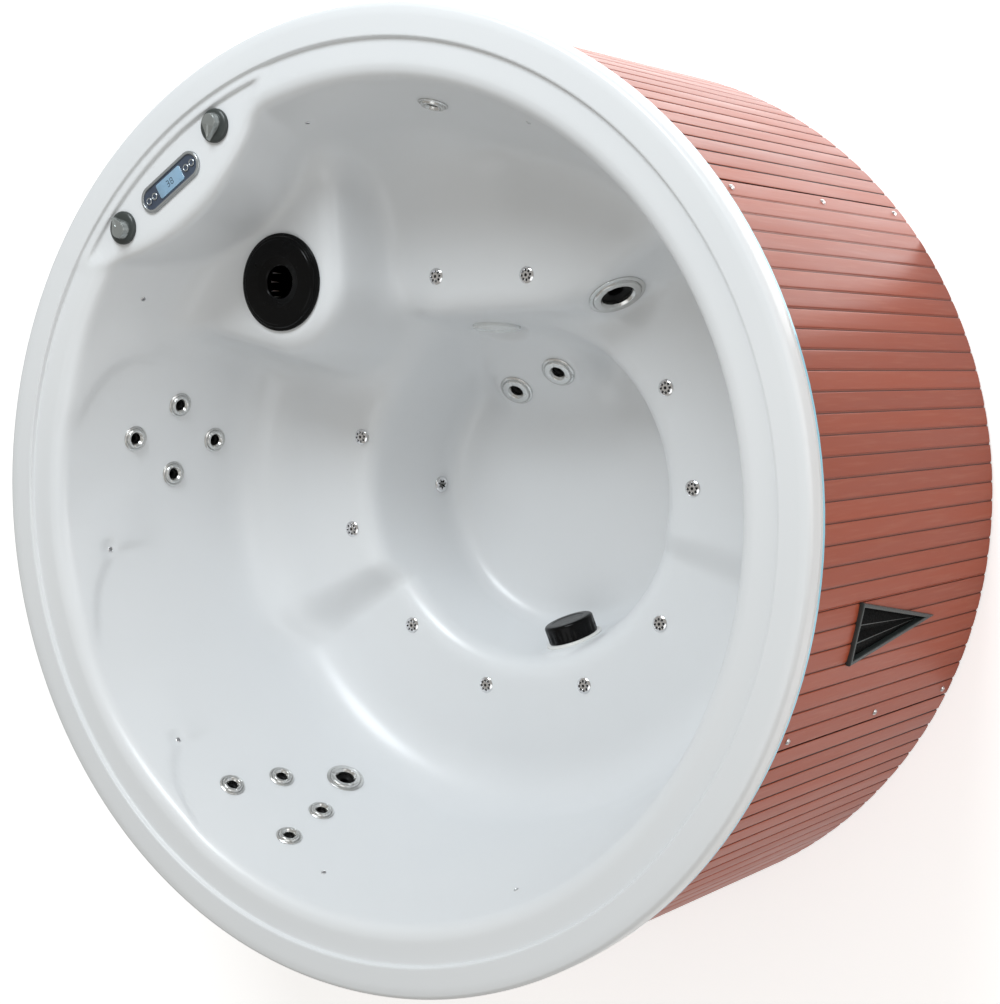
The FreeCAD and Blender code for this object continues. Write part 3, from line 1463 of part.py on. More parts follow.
NODES = [name for name, _, _, _ in JETS]
NODES += [name for name, _, _ in PANELS]
NODES += [f"panel_button_{number}" for number in range(1, len(BUTTON_SPOTS) + 1)]
NODES += [
    "acrylic_shell", "lip_edge_strip", "jet_bodies", "jet_nozzles", "return_jet",
    "air_injector_caps", "air_channel", "wall_lights",
    "light_lens", "light_housing", "suction_flange", "suction_cover", "suction_body",
    "filter_canister", "filter_basket", "filter_cartridge", "filter_lid",
    "air_knob_upper", "air_knob_lower", "air_valve_bodies",
    "panel_bezel", "panel_housing", "display_window",
    "base_pan", "footwell_support", "frame_rings", "frame_posts", "skirt_screws",
    "vent_frame", "vent_louvres", "pump_motor", "pump_volute", "pump_impeller",
    "blower_housing", "blower_fan", "heater", "control_box", "power_gland", "water_pipes",
]
os.makedirs("parts", exist_ok=True)
for piece in doc.Objects:
    if "Invalid" in piece.State or "Error" in piece.State:
        raise RuntimeError(f"{piece.Name} did not recompute: {piece.State}")
for name in NODES:
    piece = doc.getObject(name)
    if piece.Shape.isNull() or not piece.Shape.isValid() or not piece.Shape.Solids:
        raise RuntimeError(f"{name} has no valid solid")
    piece.Label = name
    piece.Shape.exportStep(f"parts/{name}.step")
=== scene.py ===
import json
import math
import bpy
import numpy as np
from mathutils import Matrix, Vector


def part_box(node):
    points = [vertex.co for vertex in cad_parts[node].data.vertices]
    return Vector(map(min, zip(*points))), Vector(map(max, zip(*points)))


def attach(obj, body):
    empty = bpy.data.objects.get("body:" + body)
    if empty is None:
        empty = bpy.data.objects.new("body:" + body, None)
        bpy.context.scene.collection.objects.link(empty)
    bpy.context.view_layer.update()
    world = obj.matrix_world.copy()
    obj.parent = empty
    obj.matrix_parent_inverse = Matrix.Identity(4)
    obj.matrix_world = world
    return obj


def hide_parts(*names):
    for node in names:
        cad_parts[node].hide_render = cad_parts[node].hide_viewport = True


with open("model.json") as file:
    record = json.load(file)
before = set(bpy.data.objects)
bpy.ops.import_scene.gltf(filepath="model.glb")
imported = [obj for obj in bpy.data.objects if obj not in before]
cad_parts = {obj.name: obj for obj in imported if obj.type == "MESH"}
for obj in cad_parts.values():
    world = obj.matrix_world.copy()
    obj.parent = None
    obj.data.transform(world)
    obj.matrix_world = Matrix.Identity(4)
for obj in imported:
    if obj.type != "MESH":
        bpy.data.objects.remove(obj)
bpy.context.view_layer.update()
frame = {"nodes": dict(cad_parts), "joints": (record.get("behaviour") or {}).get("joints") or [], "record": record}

# Stage: a white floor, a large soft key lamp on the +X side, weaker fills, a pale sky and two white cards
# on the floor that only show as a sheen on the skirt.
# The camera looks down into the bowl with +X up in the picture, as in the photograph.
scene = bpy.context.scene
scene.view_settings.view_transform = "Standard"


class Value:
    """A shader socket that takes part in arithmetic; each operation adds a Math node."""

    def __init__(self, material, socket):
        self.material = material
        self.socket = socket

    def _math(self, operation, first, second):
        return self.material.node("ShaderNodeMath", [first, second], operation=operation)

    def __add__(self, other):
        return self._math("ADD", self, other)

    def __sub__(self, other):
        return self._math("SUBTRACT", self, other)

    def __rsub__(self, other):
        return self._math("SUBTRACT", other, self)

    def __mul__(self, other):
        return self._math("MULTIPLY", self, other)

    def __truediv__(self, other):
        return self._math("DIVIDE", self, other)

    def __rtruediv__(self, other):
        return self._math("DIVIDE", other, self)

    __radd__ = __add__
    __rmul__ = __mul__


class Material:
    """A node material built around one Principled shader."""

    def __init__(self, name, **settings):
        self.data = bpy.data.materials.new(name)
        self.data.use_nodes = True
        self.tree = self.data.node_tree
        self.shader = self.tree.nodes["Principled BSDF"]
        self.set(**settings)

    def feed(self, socket, value):
        if isinstance(value, Value):
            self.tree.links.new(value.socket, socket)
        elif isinstance(value, tuple) and socket.type == "RGBA":
            socket.default_value = (*value, 1.0)
        else:
            socket.default_value = value

    def node(self, kind, inputs=(), out=0, **settings):
        added = self.tree.nodes.new(kind)
        for key, value in settings.items():
            setattr(added, key, value)
        pairs = inputs.items() if isinstance(inputs, dict) else enumerate(inputs)
        for key, value in pairs:
            self.feed(added.inputs[key], value)
        return Value(self, added.outputs[out])

    def set(self, **settings):
        for key, value in settings.items():
            self.feed(self.shader.inputs[key.replace("_", " ")], value)

    def noise(self, scale, detail=3.0, stretch=(1.0, 1.0, 1.0)):
        place = self.node("ShaderNodeTexCoord", out="Object")
        place = self.node("ShaderNodeMapping", {"Vector": place, "Scale": stretch})
        return self.node("ShaderNodeTexNoise", {"Vector": place, "Scale": scale, "Detail": detail}, out="Fac")

    def ramp(self, factor, low, high, start, end):
        """Remaps a factor from low..high to start..end, held at the ends."""
        return self.node("ShaderNodeMapRange", [factor, low, high, start, end])

    def mix(self, factor, first, second):
        return self.node("ShaderNodeMix", {0: factor, 6: first, 7: second}, out=2, data_type="RGBA")

    def bump(self, height, strength, distance):
        return self.node("ShaderNodeBump", {"Height": height, "Strength": strength, "Distance": distance})


def mottled(name, dark, light, scale, rough, relief=0.0, stretch=(1.0, 1.0, 1.0), swing=0.25, **settings):
    """A material whose colour, roughness and fine relief follow noise over the object."""
    material = Material(name, **settings)
    cloud = material.noise(scale, 4.0, stretch)
    grain = material.noise(scale * 9.0, 3.0, stretch)
    material.set(Base_Color=material.mix(cloud * 0.7 + grain * 0.3, dark, light))
    material.set(Roughness=material.ramp(grain, 0.3, 0.7, rough * (1.0 - swing), rough * (1.0 + swing)))
    if relief:
        material.set(Normal=material.bump(grain, 0.4, relief))
    return material


def mesh_piece(name, points, faces, *materials, crease=40.0):
    """A mesh object from points and faces, smooth except over edges sharper than the crease."""
    mesh = bpy.data.meshes.new(name)
    mesh.from_pydata(np.asarray(points, dtype=float).reshape(-1, 3).tolist(), [], faces)
    mesh.polygons.foreach_set("use_smooth", np.full(len(mesh.polygons), True))
    mesh.set_sharp_from_angle(angle=math.radians(crease))
    for material in materials:
        mesh.materials.append(material.data)
    piece = bpy.data.objects.new(name, mesh)
    scene.collection.objects.link(piece)
    return piece


floor_paint = mottled("floor", (0.90, 0.90, 0.90), (0.93, 0.93, 0.93), 0.6, 0.9, Emission_Strength=1.0)
seen = floor_paint.node("ShaderNodeLightPath", out="Is Camera Ray")
floor_paint.set(Emission_Color=floor_paint.mix(seen, (0.0, 0.0, 0.0), (0.46, 0.46, 0.46)))
STAGE_HALF = 40.0
corners = [(STAGE_HALF * x, STAGE_HALF * y, 0.0) for x, y in ((-1, -1), (1, -1), (1, 1), (-1, 1))]
floor = mesh_piece("floor", corners, [(0, 1, 2, 3)], floor_paint)

camera = bpy.data.cameras.new("camera")
camera.lens = 73.49
camera.sensor_width = 36.0
viewer = bpy.data.objects.new("camera", camera)
scene.collection.objects.link(viewer)

# Axes of the picture and place of the camera, fitted to the circles of the rim and the base.
right, up, ahead = (-0.0892, -0.8271, -0.5549), (0.9960, -0.0718, -0.0531), (-0.0041, 0.5574, -0.8302)
turn = Matrix([[right[i], up[i], -ahead[i]] for i in range(3)]).to_4x4()
viewer.matrix_world = Matrix.Translation((0.0, -2.5399, 4.2118)) @ turn
scene.camera = viewer


def lamp(name, place, target, size, power, colour):
    """A round area lamp at a place, turned to a target."""
    light = bpy.data.lights.new(name, "AREA")
    light.color = colour
    light.shape = "DISK"
    light.size = size
    light.energy = power
    holder = bpy.data.objects.new(name, light)
    scene.collection.objects.link(holder)
    back = np.array(place) - np.array(target)
    back /= np.linalg.norm(back)
    across = np.cross((0.0, 1.0, 0.3), back)
    across /= np.linalg.norm(across)
    axes = np.column_stack([across, np.cross(back, across), back])
    holder.matrix_world = Matrix.Translation(place) @ Matrix(axes.tolist()).to_4x4()
    return holder


lamp("key", (4.1, -0.6, 4.2), (0.0, 0.0, 0.6), 2.6, 215, (0.90, 0.96, 1.0))
lamp("top", (-2.4, -1.4, 5.6), (0.0, 0.0, 0.5), 4.0, 42, (0.95, 0.98, 1.0))
lamp("side", (-0.4, -5.9, 1.1), (0.0, 0.0, 0.4), 3.0, 52, (1.0, 0.97, 0.94))
lamp("front", (0.6, -5.6, 3.4), (0.0, 0.0, 0.6), 3.0, 35, (0.97, 0.98, 1.0))
for name, x, y, power in (("card_near", 1.75, -1.05, 35), ("card_far", -1.80, -1.05, 7)):
    card = lamp(name, (x, y, 0.003), (x, y, 2.0), 2.6, power, (1.0, 1.0, 1.0))
    card.visible_diffuse = False
    card.visible_camera = False
world = bpy.data.worlds.new("sky")
scene.world = world
world.use_nodes = True
sky = world.node_tree.nodes["Background"]
sky.inputs["Color"].default_value = (1.0, 0.97, 0.91, 1.0)
sky.inputs["Strength"].default_value = 0.43

# Base, frame and equipment under the shell, edge strip and panel screws: the pieces keep their CAD shapes.
# Softwood frame, foam block, grey and white mouldings, enamelled motor; each finish has its own grain.
finishes = {
    "grey_plastic": mottled("grey_plastic", (0.16, 0.165, 0.175), (0.21, 0.215, 0.225), 6.0, 0.5, 0.0004),
    "white_plastic": mottled("white_plastic", (0.70, 0.70, 0.68), (0.76, 0.76, 0.75), 5.0, 0.34, 0.0002,
                             swing=0.15),
    "frame_wood": mottled("frame_wood", (0.36, 0.21, 0.10), (0.52, 0.34, 0.18), 9.0, 0.65, 0.0006,
                          (3.0, 3.0, 0.35)),
    "foam": mottled("foam", (0.62, 0.54, 0.34), (0.72, 0.65, 0.44), 30.0, 0.9, 0.002),
    "motor_paint": mottled("motor_paint", (0.012, 0.013, 0.016), (0.022, 0.024, 0.03), 12.0, 0.42, 0.0003),
    "black": mottled("black", (0.003, 0.003, 0.003), (0.006, 0.006, 0.006), 25.0, 0.45, 0.0002,
                     Specular_IOR_Level=0.12),
    "black_gloss": mottled("black_gloss", (0.0016, 0.0017, 0.0018), (0.003, 0.003, 0.0032), 8.0, 0.22,
                           Specular_IOR_Level=0.12),
    "steel": mottled("steel", (0.62, 0.62, 0.61), (0.68, 0.68, 0.67), 14.0, 0.24, swing=0.08, Metallic=1.0),
    "chrome": mottled("chrome", (0.72, 0.72, 0.73), (0.78, 0.78, 0.79), 20.0, 0.10, swing=0.1, Metallic=1.0),
    "screw_steel": mottled("screw_steel", (0.50, 0.48, 0.48), (0.62, 0.60, 0.60), 40.0, 0.24, swing=0.1,
                           Metallic=1.0),
    "silver": mottled("silver", (0.36, 0.38, 0.39), (0.41, 0.43, 0.44), 30.0, 0.25, swing=0.06, Metallic=0.7),
    "lens": mottled("lens", (0.66, 0.68, 0.68), (0.72, 0.74, 0.74), 10.0, 0.12, 0.0002, Coat_Weight=0.5),
    "edge_strip": mottled("edge_strip", (0.20, 0.54, 0.70), (0.28, 0.61, 0.76), 12.0, 0.15, 0.0001,
                          Coat_Weight=0.4),
}


def coat(name, material):
    """Gives a CAD piece its finish."""
    node = frame["nodes"][name]
    node.data.materials.clear()
    node.data.materials.append(material.data)


for part in frame["record"]["subparts"]:
    if part["material_slot"] in finishes:
        coat(part["node"], finishes[part["material_slot"]])

# Acrylic shell: one vacuum-formed skin of glossy white acrylic, the wall leaning outwards from the
# seats to the rim. The surface is where rays from a point above the bowl meet the moulded form, which
# is a blend of planes, cones and discs; past the rim the grid goes on round the lip to its lower edge.
RIM_TOP, INNER_TOP, WALL_TOP, SHELF_TOP = 0.945, 0.936, 0.911, 0.931
WALL_RADIUS, LEAN = 0.850, math.radians(14.6)
FLOOR, FLOOR_RADIUS, WELL_RADIUS, LOW_SEAT = 0.125, 0.326, 0.382, 0.350
LEFT_SEAT, RIGHT_SEAT, UPPER_SEAT, DECK = 0.400, 0.372, 0.530, 0.690
RAMP, DECK_AZIMUTH, DECK_FLARE = math.radians(40.0), math.radians(34.6), math.radians(37.0)
RAMP_FOOT, RAMP_HALF, RAMP_Y, WELL_BULGE = 0.175, 0.165, 0.020, 0.075
DECK_RADIUS, DECK_DRAFT, BACKREST_STEP = 0.150, 0.2, 0.006
SHELF_AZIMUTH, SHELF_EDGE, SHELF_RADIUS = 30.0, 0.748, 0.530
LID_SEAT, FILTER_WELL, FILTER_WELL_DEPTH = 0.110, 0.090, 0.10

# Upright faces of the upper seat: azimuth, reach at the height of the seat, and lean.
FRONT, END, SIDE = (-4.0, 0.399, 0.13), (25.5, 0.232, 0.26), (-90.0, -0.150, 0.5)

# Backrest edges: azimuth of the middle of each backrest, half its width, foot and rise of its arched edge.
BACKRESTS = [(75.5, 13.5, 0.757, 0.135), (110.0, 17.0, 0.763, 0.130), (146.0, 19.5, 0.790, 0.130)]


def blend_min(a, b, k):
    """The smaller of two distances, with the corner between them rounded over k."""
    h = np.maximum(k - np.abs(a - b), 0.0) / k
    return np.minimum(a, b) - h * h * k * 0.25


def blend_max(a, b, k):
    """The larger of two distances, with the corner between them rounded over k."""
    return -blend_min(-a, -b, k)


def ease(value, low, high):
    """Rises smoothly from 0 at low to 1 at high."""
    s = np.clip((value - low) / (high - low), 0.0, 1.0)
    return s * s * (3.0 - 2.0 * s)


def polar(reach, degrees):
    """X and Y of a point at a reach and an azimuth."""
    return reach * math.cos(math.radians(degrees)), reach * math.sin(math.radians(degrees))


lid_low, lid_high = (np.array(corner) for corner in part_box("filter_lid"))
lid_x, lid_y = (lid_low[:2] + lid_high[:2]) / 2.0
shelf_x, shelf_y = polar(SHELF_EDGE + SHELF_RADIUS, SHELF_AZIMUTH)
well_slope = (WELL_RADIUS - FLOOR_RADIUS) / (LOW_SEAT - FLOOR)


def face_depth(x, y, z, degrees, reach, lean):
    """Depth behind an upright face of the upper seat that leans out downwards."""
    mx, my = polar(1.0, degrees)
    return (mx * x + my * y - reach + lean * (UPPER_SEAT - z)) / math.hypot(1.0, lean)


def open_space(x, y, z):
    """Positive in the space over the shell, negative in its material."""
    r = np.hypot(x, y)
    angle = np.degrees(np.arctan2(y, x))
    wall = (WALL_RADIUS - math.tan(LEAN) * (WALL_TOP - z) - r) * math.cos(LEAN)
    for middle, half, foot, rise in BACKRESTS:
        edge = np.hypot((angle - middle) / half, np.maximum(z - foot, 0.0) / rise)
        side = (1.0 - ease(angle, middle - 0.45 * half, middle)) * ease(z, foot - 0.09, foot + 0.02)
        wall = wall - BACKREST_STEP * ease(edge, 0.96, 1.04) * (1.0 - ease(edge, 1.08, 1.8)) * side
    left = ease(angle, 0.0, 1.0) - ease(angle, 108.0, 119.0)
    right = ease(angle, -115.0, -106.0) - ease(angle, -1.0, 0.0)
    seats = z - LOW_SEAT - (LEFT_SEAT - LOW_SEAT) * left - (RIGHT_SEAT - LOW_SEAT) * right
    bulge = WELL_BULGE * ease(x, 0.05, 0.33) * np.exp(-((y - RAMP_Y) / 0.14) ** 2)
    well = (FLOOR_RADIUS + well_slope * (z - FLOOR) + bulge - r) / math.hypot(1.0, well_slope)
    space = blend_max(blend_min(wall, seats, 0.11), blend_min(well, z - FLOOR, 0.05), 0.05)
    ramp = (FLOOR + (x - RAMP_FOOT) * math.tan(RAMP) - z) * math.cos(RAMP)
    space = blend_min(space, -blend_min(ramp, RAMP_HALF - np.abs(y - RAMP_Y), 0.09), 0.05)
    front, end, side = (face_depth(x, y, z, *face) for face in (FRONT, END, SIDE))
    upper = blend_min(blend_min(blend_min(front, end, 0.03), side, 0.10), UPPER_SEAT - z, 0.055)
    space = blend_min(space, -upper, 0.07)
    u = (x - lid_x) * math.cos(DECK_AZIMUTH) + (y - lid_y) * math.sin(DECK_AZIMUTH)
    v = np.abs((y - lid_y) * math.cos(DECK_AZIMUTH) - (x - lid_x) * math.sin(DECK_AZIMUTH))
    flare = v * math.cos(DECK_FLARE) - u * math.sin(DECK_FLARE)
    reach = np.where(u < -v * math.tan(DECK_FLARE), np.hypot(u, v), flare)
    flank = (DECK_RADIUS + DECK_DRAFT * (DECK - z) - reach) / math.hypot(1.0, DECK_DRAFT)
    deck = blend_min(flank, DECK - z, 0.045)
    space = blend_min(space, -deck, 0.07)
    shelf = SHELF_RADIUS - np.hypot(x - shelf_x, y - shelf_y)
    sunk = ease(shelf, 0.0, 0.05) * (1.0 - ease(r, 0.908, 0.914))
    rim = INNER_TOP + (RIM_TOP - INNER_TOP) * ease(r, 0.9296, 0.9344) - 0.03 * sunk
    space = blend_max(space, z - rim, 0.03)
    return blend_min(space, -blend_min(shelf, SHELF_TOP - z, 0.03), 0.02)


# Rows of the grid follow the plain bowl from the middle of the floor to the rim; close rows where it bends.
STRETCHES = [(0.0, FLOOR, 24), (0.30, FLOOR, 7), (0.336, 0.150, 20), (0.376, 0.330, 7),
             (0.40, LOW_SEAT, 30), (0.66, LOW_SEAT, 9), (0.72, 0.41, 50), (0.846, 0.895, 9),
             (0.876, INNER_TOP, 7), (0.925, INNER_TOP, 10), (0.938, RIM_TOP, 4), (0.985, RIM_TOP, 0)]
COLUMNS, EYE = 552, 1.25


def revolved(profile, angles):
    """Grid of a profile of radius and height carried round the Z axis."""
    radius, height = profile[:, :1], profile[:, 1:]
    return np.stack([radius * np.cos(angles), radius * np.sin(angles), height + 0.0 * angles], axis=-1)


aims = []
for (r0, z0, count), (r1, z1, _) in zip(STRETCHES, STRETCHES[1:]):
    for share in np.arange(count) / count:
        aims.append((r0 + (r1 - r0) * share, z0 + (z1 - z0) * share - EYE))
aims = np.array(aims[1:])
aims /= np.linalg.norm(aims, axis=1, keepdims=True)
azimuths = np.linspace(0.0, 2.0 * math.pi, COLUMNS, endpoint=False)
ray_x, ray_y, ray_z = np.moveaxis(revolved(aims, azimuths), -1, 0)
reach = np.zeros_like(ray_x)
for _ in range(110):
    depth = open_space(ray_x * reach, ray_y * reach, EYE + ray_z * reach)
    reach = np.where(depth > 0.0, reach + np.maximum(depth * 0.7, 0.0004), reach)
near, far = reach - 0.03, reach
for _ in range(22):
    middle = (near + far) / 2.0
    clear = open_space(ray_x * middle, ray_y * middle, EYE + ray_z * middle) > 0.0
    near, far = np.where(clear, middle, near), np.where(clear, far, middle)
bowl = np.stack([ray_x * near, ray_y * near, EYE + ray_z * near], axis=-1)


def fitted(surface, place, normal, radius, pit, depth):
    """Flattens the skin under a fitting's flange and sinks it where the fitting passes through."""
    offset = surface - place
    height = offset @ normal
    spread = np.linalg.norm(offset - height[..., None] * normal, axis=-1)
    close = np.abs(height) < 0.06
    flat = (1.0 - ease(spread, radius + 0.004, radius + 0.022)) * close
    sunk = (spread < pit) * close * depth
    return surface - (flat * height + sunk)[..., None] * normal


# Fittings in the shell: jets stand where their joints are, the others on the walls and the front of a seat.
# Each jet's size is the radius of its flange and the share that its mouth takes of it.
JET_SIZES = {"jet_low_medium": (0.043, 0.48), "jet_neck": (0.032, 0.44), "jet_large": (0.0635, 0.54),
             "jet_foot_left": (0.0405, 0.36), "jet_foot_right": (0.0405, 0.36)}
SMALL_JET = (0.029, 0.41)
RETURN_RADIUS, SUCTION_RADIUS, WALL_LIGHT_RADIUS = 0.020, 0.066, 0.006
jets = {}
for joint in frame["joints"]:
    if joint["name"].startswith("jet_"):
        jet = joint["name"].removesuffix("_turn")
        jets[jet] = (np.array(joint["pos_m"]), np.array(joint["axis"]), *JET_SIZES.get(jet, SMALL_JET))
for place, normal, radius, _ in jets.values():
    bowl = fitted(bowl, place, normal, radius, radius - 0.0145, 0.05)
UP = np.array([0.0, 0.0, 1.0])
bowl = fitted(bowl, np.array([lid_x, lid_y, DECK]), UP, LID_SEAT, FILTER_WELL, FILTER_WELL_DEPTH)


def on_cone(degrees, height, foot, foot_radius, slope, lift):
    """Place and normal of a fitting on a wall that widens upwards, lifted off the round of the wall."""
    normal = np.array([*polar(-1.0, degrees), slope]) / math.hypot(1.0, slope)
    return np.array([*polar(foot_radius + slope * (height - foot), degrees), height]) + lift * normal, normal


return_jet = on_cone(84.0, 0.175, FLOOR, FLOOR_RADIUS, well_slope, 0.0011)
suction = on_cone(-172.0, 0.245, FLOOR, FLOOR_RADIUS, well_slope, 0.0069)
LIGHT_AZIMUTHS = (9.8, 52.2, 93.3, 126.2, 160.2, 195.1, 229.0, 263.0, 296.0, 330.5)
LIGHT_HEIGHT = LOW_SEAT + 0.829 * (WALL_TOP - LOW_SEAT)
wall_lights = [on_cone(azimuth, LIGHT_HEIGHT, WALL_TOP, WALL_RADIUS, math.tan(LEAN), 0.0004)
               for azimuth in LIGHT_AZIMUTHS]
LENS_HEIGHT, LENS_Y, LENS_RADIUS = 0.350, 0.019, 0.054
front_azimuth, front_reach, front_lean = FRONT
front_x, front_y = polar(1.0, front_azimuth)
lens_x = (front_reach - front_lean * (UPPER_SEAT - LENS_HEIGHT) - front_y * LENS_Y) / front_x
lens_place = np.array([lens_x, LENS_Y, LENS_HEIGHT])
lens_normal = np.array([-front_x, -front_y, front_lean]) / math.hypot(1.0, front_lean)
bowl = fitted(bowl, *return_jet, RETURN_RADIUS, 0.008, 0.03)
bowl = fitted(bowl, *suction, SUCTION_RADIUS, 0.040, 0.03)
bowl = fitted(bowl, lens_place, lens_normal, LENS_RADIUS, 0.040, 0.02)
for place, normal in wall_lights:
    bowl = fitted(bowl, place, normal, WALL_LIGHT_RADIUS, 0.0, 0.0)
LIP_RADIUS, LIP_ROUND, LIP_LOW, LIP_WALL, LIP_EDGE = 1.0, 0.014, 0.897, 0.008, 0.0015
lip_inside = LIP_RADIUS - LIP_WALL
lip = [(LIP_RADIUS - LIP_ROUND * (1.0 - math.sin(angle)), RIM_TOP - LIP_ROUND * (1.0 - math.cos(angle)))
       for angle in np.radians(np.arange(15, 91, 15))]
lip += [(LIP_RADIUS, LIP_LOW + 0.018), (LIP_RADIUS, LIP_LOW + LIP_EDGE), (LIP_RADIUS - LIP_EDGE, LIP_LOW),
        (lip_inside + LIP_EDGE, LIP_LOW), (lip_inside, LIP_LOW + LIP_EDGE), (lip_inside, LIP_LOW + 0.033)]
skin = np.concatenate([bowl, revolved(np.array(lip), azimuths)])[::-1]


def grid_faces(rows, columns, closed=True):
    """Quads over a grid stored row by row; where closed, the last column joins the first."""
    i, j = np.meshgrid(np.arange(rows - 1), np.arange(columns if closed else columns - 1), indexing="ij")
    k = (j + 1) % columns
    here, above = i * columns, (i + 1) * columns
    return np.stack([here + j, here + k, above + k, above + j], axis=-1).reshape(-1, 4).tolist()


def pole_faces(first, count):
    """Triangles from a ring of points to the single point stored after it."""
    return [(first + j, first + (j + 1) % count, first + count) for j in range(count)]


def second_finish(piece, chosen):
    """Gives the chosen faces of a piece its second material."""
    piece.data.polygons.foreach_set("material_index", np.array(chosen, dtype=np.int32))


points = np.concatenate([skin.reshape(-1, 3), [(0.0, 0.0, FLOOR)]])
faces = grid_faces(len(skin), COLUMNS) + pole_faces((len(skin) - 1) * COLUMNS, COLUMNS)
acrylic = Material("acrylic", Coat_Weight=0.10, Coat_Roughness=0.16)
cloud = acrylic.noise(1.6, 3.0)
acrylic.set(Base_Color=acrylic.mix(cloud, (0.675, 0.695, 0.715), (0.735, 0.745, 0.755)))
acrylic.set(Roughness=acrylic.ramp(acrylic.noise(6.0, 5.0), 0.2, 0.8, 0.29, 0.35))
acrylic.set(Normal=acrylic.bump(acrylic.noise(9.0, 2.0), 0.02, 0.004))
# Painted shade: the floor of the filter well under the lid's hole is near-black, standing for the darkness in the
# well.
well_black = mottled("well_black", (0.0008, 0.0009, 0.0009), (0.0016, 0.0017, 0.0017), 40.0, 0.7,
                     Specular_IOR_Level=0.02)
shell = mesh_piece("shell_skin", points, faces, acrylic, well_black, crease=70.0)
painted_well_shade_points = np.hypot(points[:, 0] - lid_x, points[:, 1] - lid_y) < FILTER_WELL
painted_well_shade_points &= np.abs(points[:, 2] - DECK + FILTER_WELL_DEPTH) < 0.02
second_finish(shell, [painted_well_shade_points[face[0]] or painted_well_shade_points[face[2]] for face in faces])
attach(shell, "tub")
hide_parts("acrylic_shell")

# Jets: polished steel faces that turn on the nozzles, each a stepped flange and a dome with three grips.
# A profile is spun about the jet's own axis; the black nozzle behind it is a funnel with a dark throat.


def rounded(corners, steps=4):
    """Profile points through corners of radius, height and rounding; the ends stay sharp."""
    places = np.array([corner[:2] for corner in corners], dtype=float)
    outline = []
    for i, (place, rounding) in enumerate(zip(places, [corner[2] for corner in corners])):
        if rounding == 0 or i in (0, len(corners) - 1):
            outline.append(place)
            continue
        back = (places[i - 1] - place) / np.linalg.norm(places[i - 1] - place)
        on = (places[i + 1] - place) / np.linalg.norm(places[i + 1] - place)
        half_angle = math.acos(np.clip(back @ on, -1.0, 1.0)) / 2.0
        centre = place + (back + on) / np.linalg.norm(back + on) * rounding / math.sin(half_angle)
        start = place + back * rounding / math.tan(half_angle) - centre
        end = place + on * rounding / math.tan(half_angle) - centre
        sweep = math.pi - 2.0 * half_angle
        for share in np.linspace(0.0, 1.0, steps):
            arc = math.sin((1.0 - share) * sweep) * start + math.sin(share * sweep) * end
            outline.append(centre + arc / math.sin(sweep))
    return np.array(outline)


def spun(profile, segments):
    """Points and faces of a profile turned about Z, foot first; it may end on the axis or where it began."""
    angles = np.linspace(0.0, 2.0 * math.pi, segments, endpoint=False)
    tip = profile[-1, 0] < 1e-9
    loop = np.allclose(profile[0], profile[-1])
    rings = profile[:-1] if tip or loop else profile
    surface = revolved(rings, angles).reshape(-1, 3)
    quads = grid_faces(len(rings), segments)
    last = (len(rings) - 1) * segments
    if tip:
        surface = np.concatenate([surface, [(0.0, 0.0, profile[-1, 1])]])
        quads += pole_faces(last, segments)
    if loop:
        quads += [(last + j, last + (j + 1) % segments, (j + 1) % segments, j) for j in range(segments)]
    return surface, quads


def seated(surface, place, normal, turn=0.0):
    """Local points moved so that local Z is the normal at the place."""
    along = np.cross((0.0, 1.0, 0.0), normal) if abs(normal[2]) < 0.99 else np.array([1.0, 0.0, 0.0])
    along = along / np.linalg.norm(along)
    across = np.cross(normal, along)
    c, s = math.cos(turn), math.sin(turn)
    return place + surface @ np.array([c * along + s * across, c * across - s * along, normal])


def merged(parts):
    """Several point and face lists as one."""
    points, faces = [], []
    for surface, quads in parts:
        start = sum(len(piece) for piece in points)
        points.append(surface)
        faces += [tuple(corner + start for corner in quad) for quad in quads]
    return np.concatenate(points), faces


nozzles = []
for jet, (place, normal, radius, share) in jets.items():
    mouth = radius * share
    step = radius - 0.13 * radius
    profile = rounded([(radius - 0.0005, 0.0003, 0), (radius, 0.0024, 0.0008), (step, 0.0044, 0.0008),
                       (step - 0.0008, 0.0026, 0.0003), (step - 0.0016, 0.0026, 0.0003),
                       (step - 0.0036, 0.0082, 0.0024), (mouth + 0.0045, 0.0086, 0.0028),
                       (mouth, 0.0025, 0.0014), (mouth - 0.0005, -0.014, 0)], 5)
    surface, quads = spun(profile, 72)
    angle = np.arctan2(surface[:, 1], surface[:, 0])
    grip = np.exp(-((np.mod(angle + math.pi / 3, 2 * math.pi / 3) - math.pi / 3) / 0.09) ** 2)
    dome = np.clip((surface[:, 2] - 0.004) / 0.004, 0.0, 1.0)
    surface[:, 2] -= 0.0012 * grip * dome
    face = mesh_piece(jet + "_ring", seated(surface, place, normal), quads, finishes["steel"])
    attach(face, jet + "_face")
    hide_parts(jet)
    throat = mouth * 0.5
    funnel = rounded([(mouth - 0.0009, -0.020, 0), (mouth - 0.0009, -0.004, 0.001), (throat, -0.009, 0.001),
                      (throat, -0.040, 0), (0.0, -0.040, 0)])
    surface, quads = spun(funnel, 48)
    nozzles.append((seated(surface, place, normal), quads))
nozzle_set = mesh_piece("jet_throats", *merged(nozzles), finishes["black"])
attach(nozzle_set, "tub")
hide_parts("jet_nozzles")
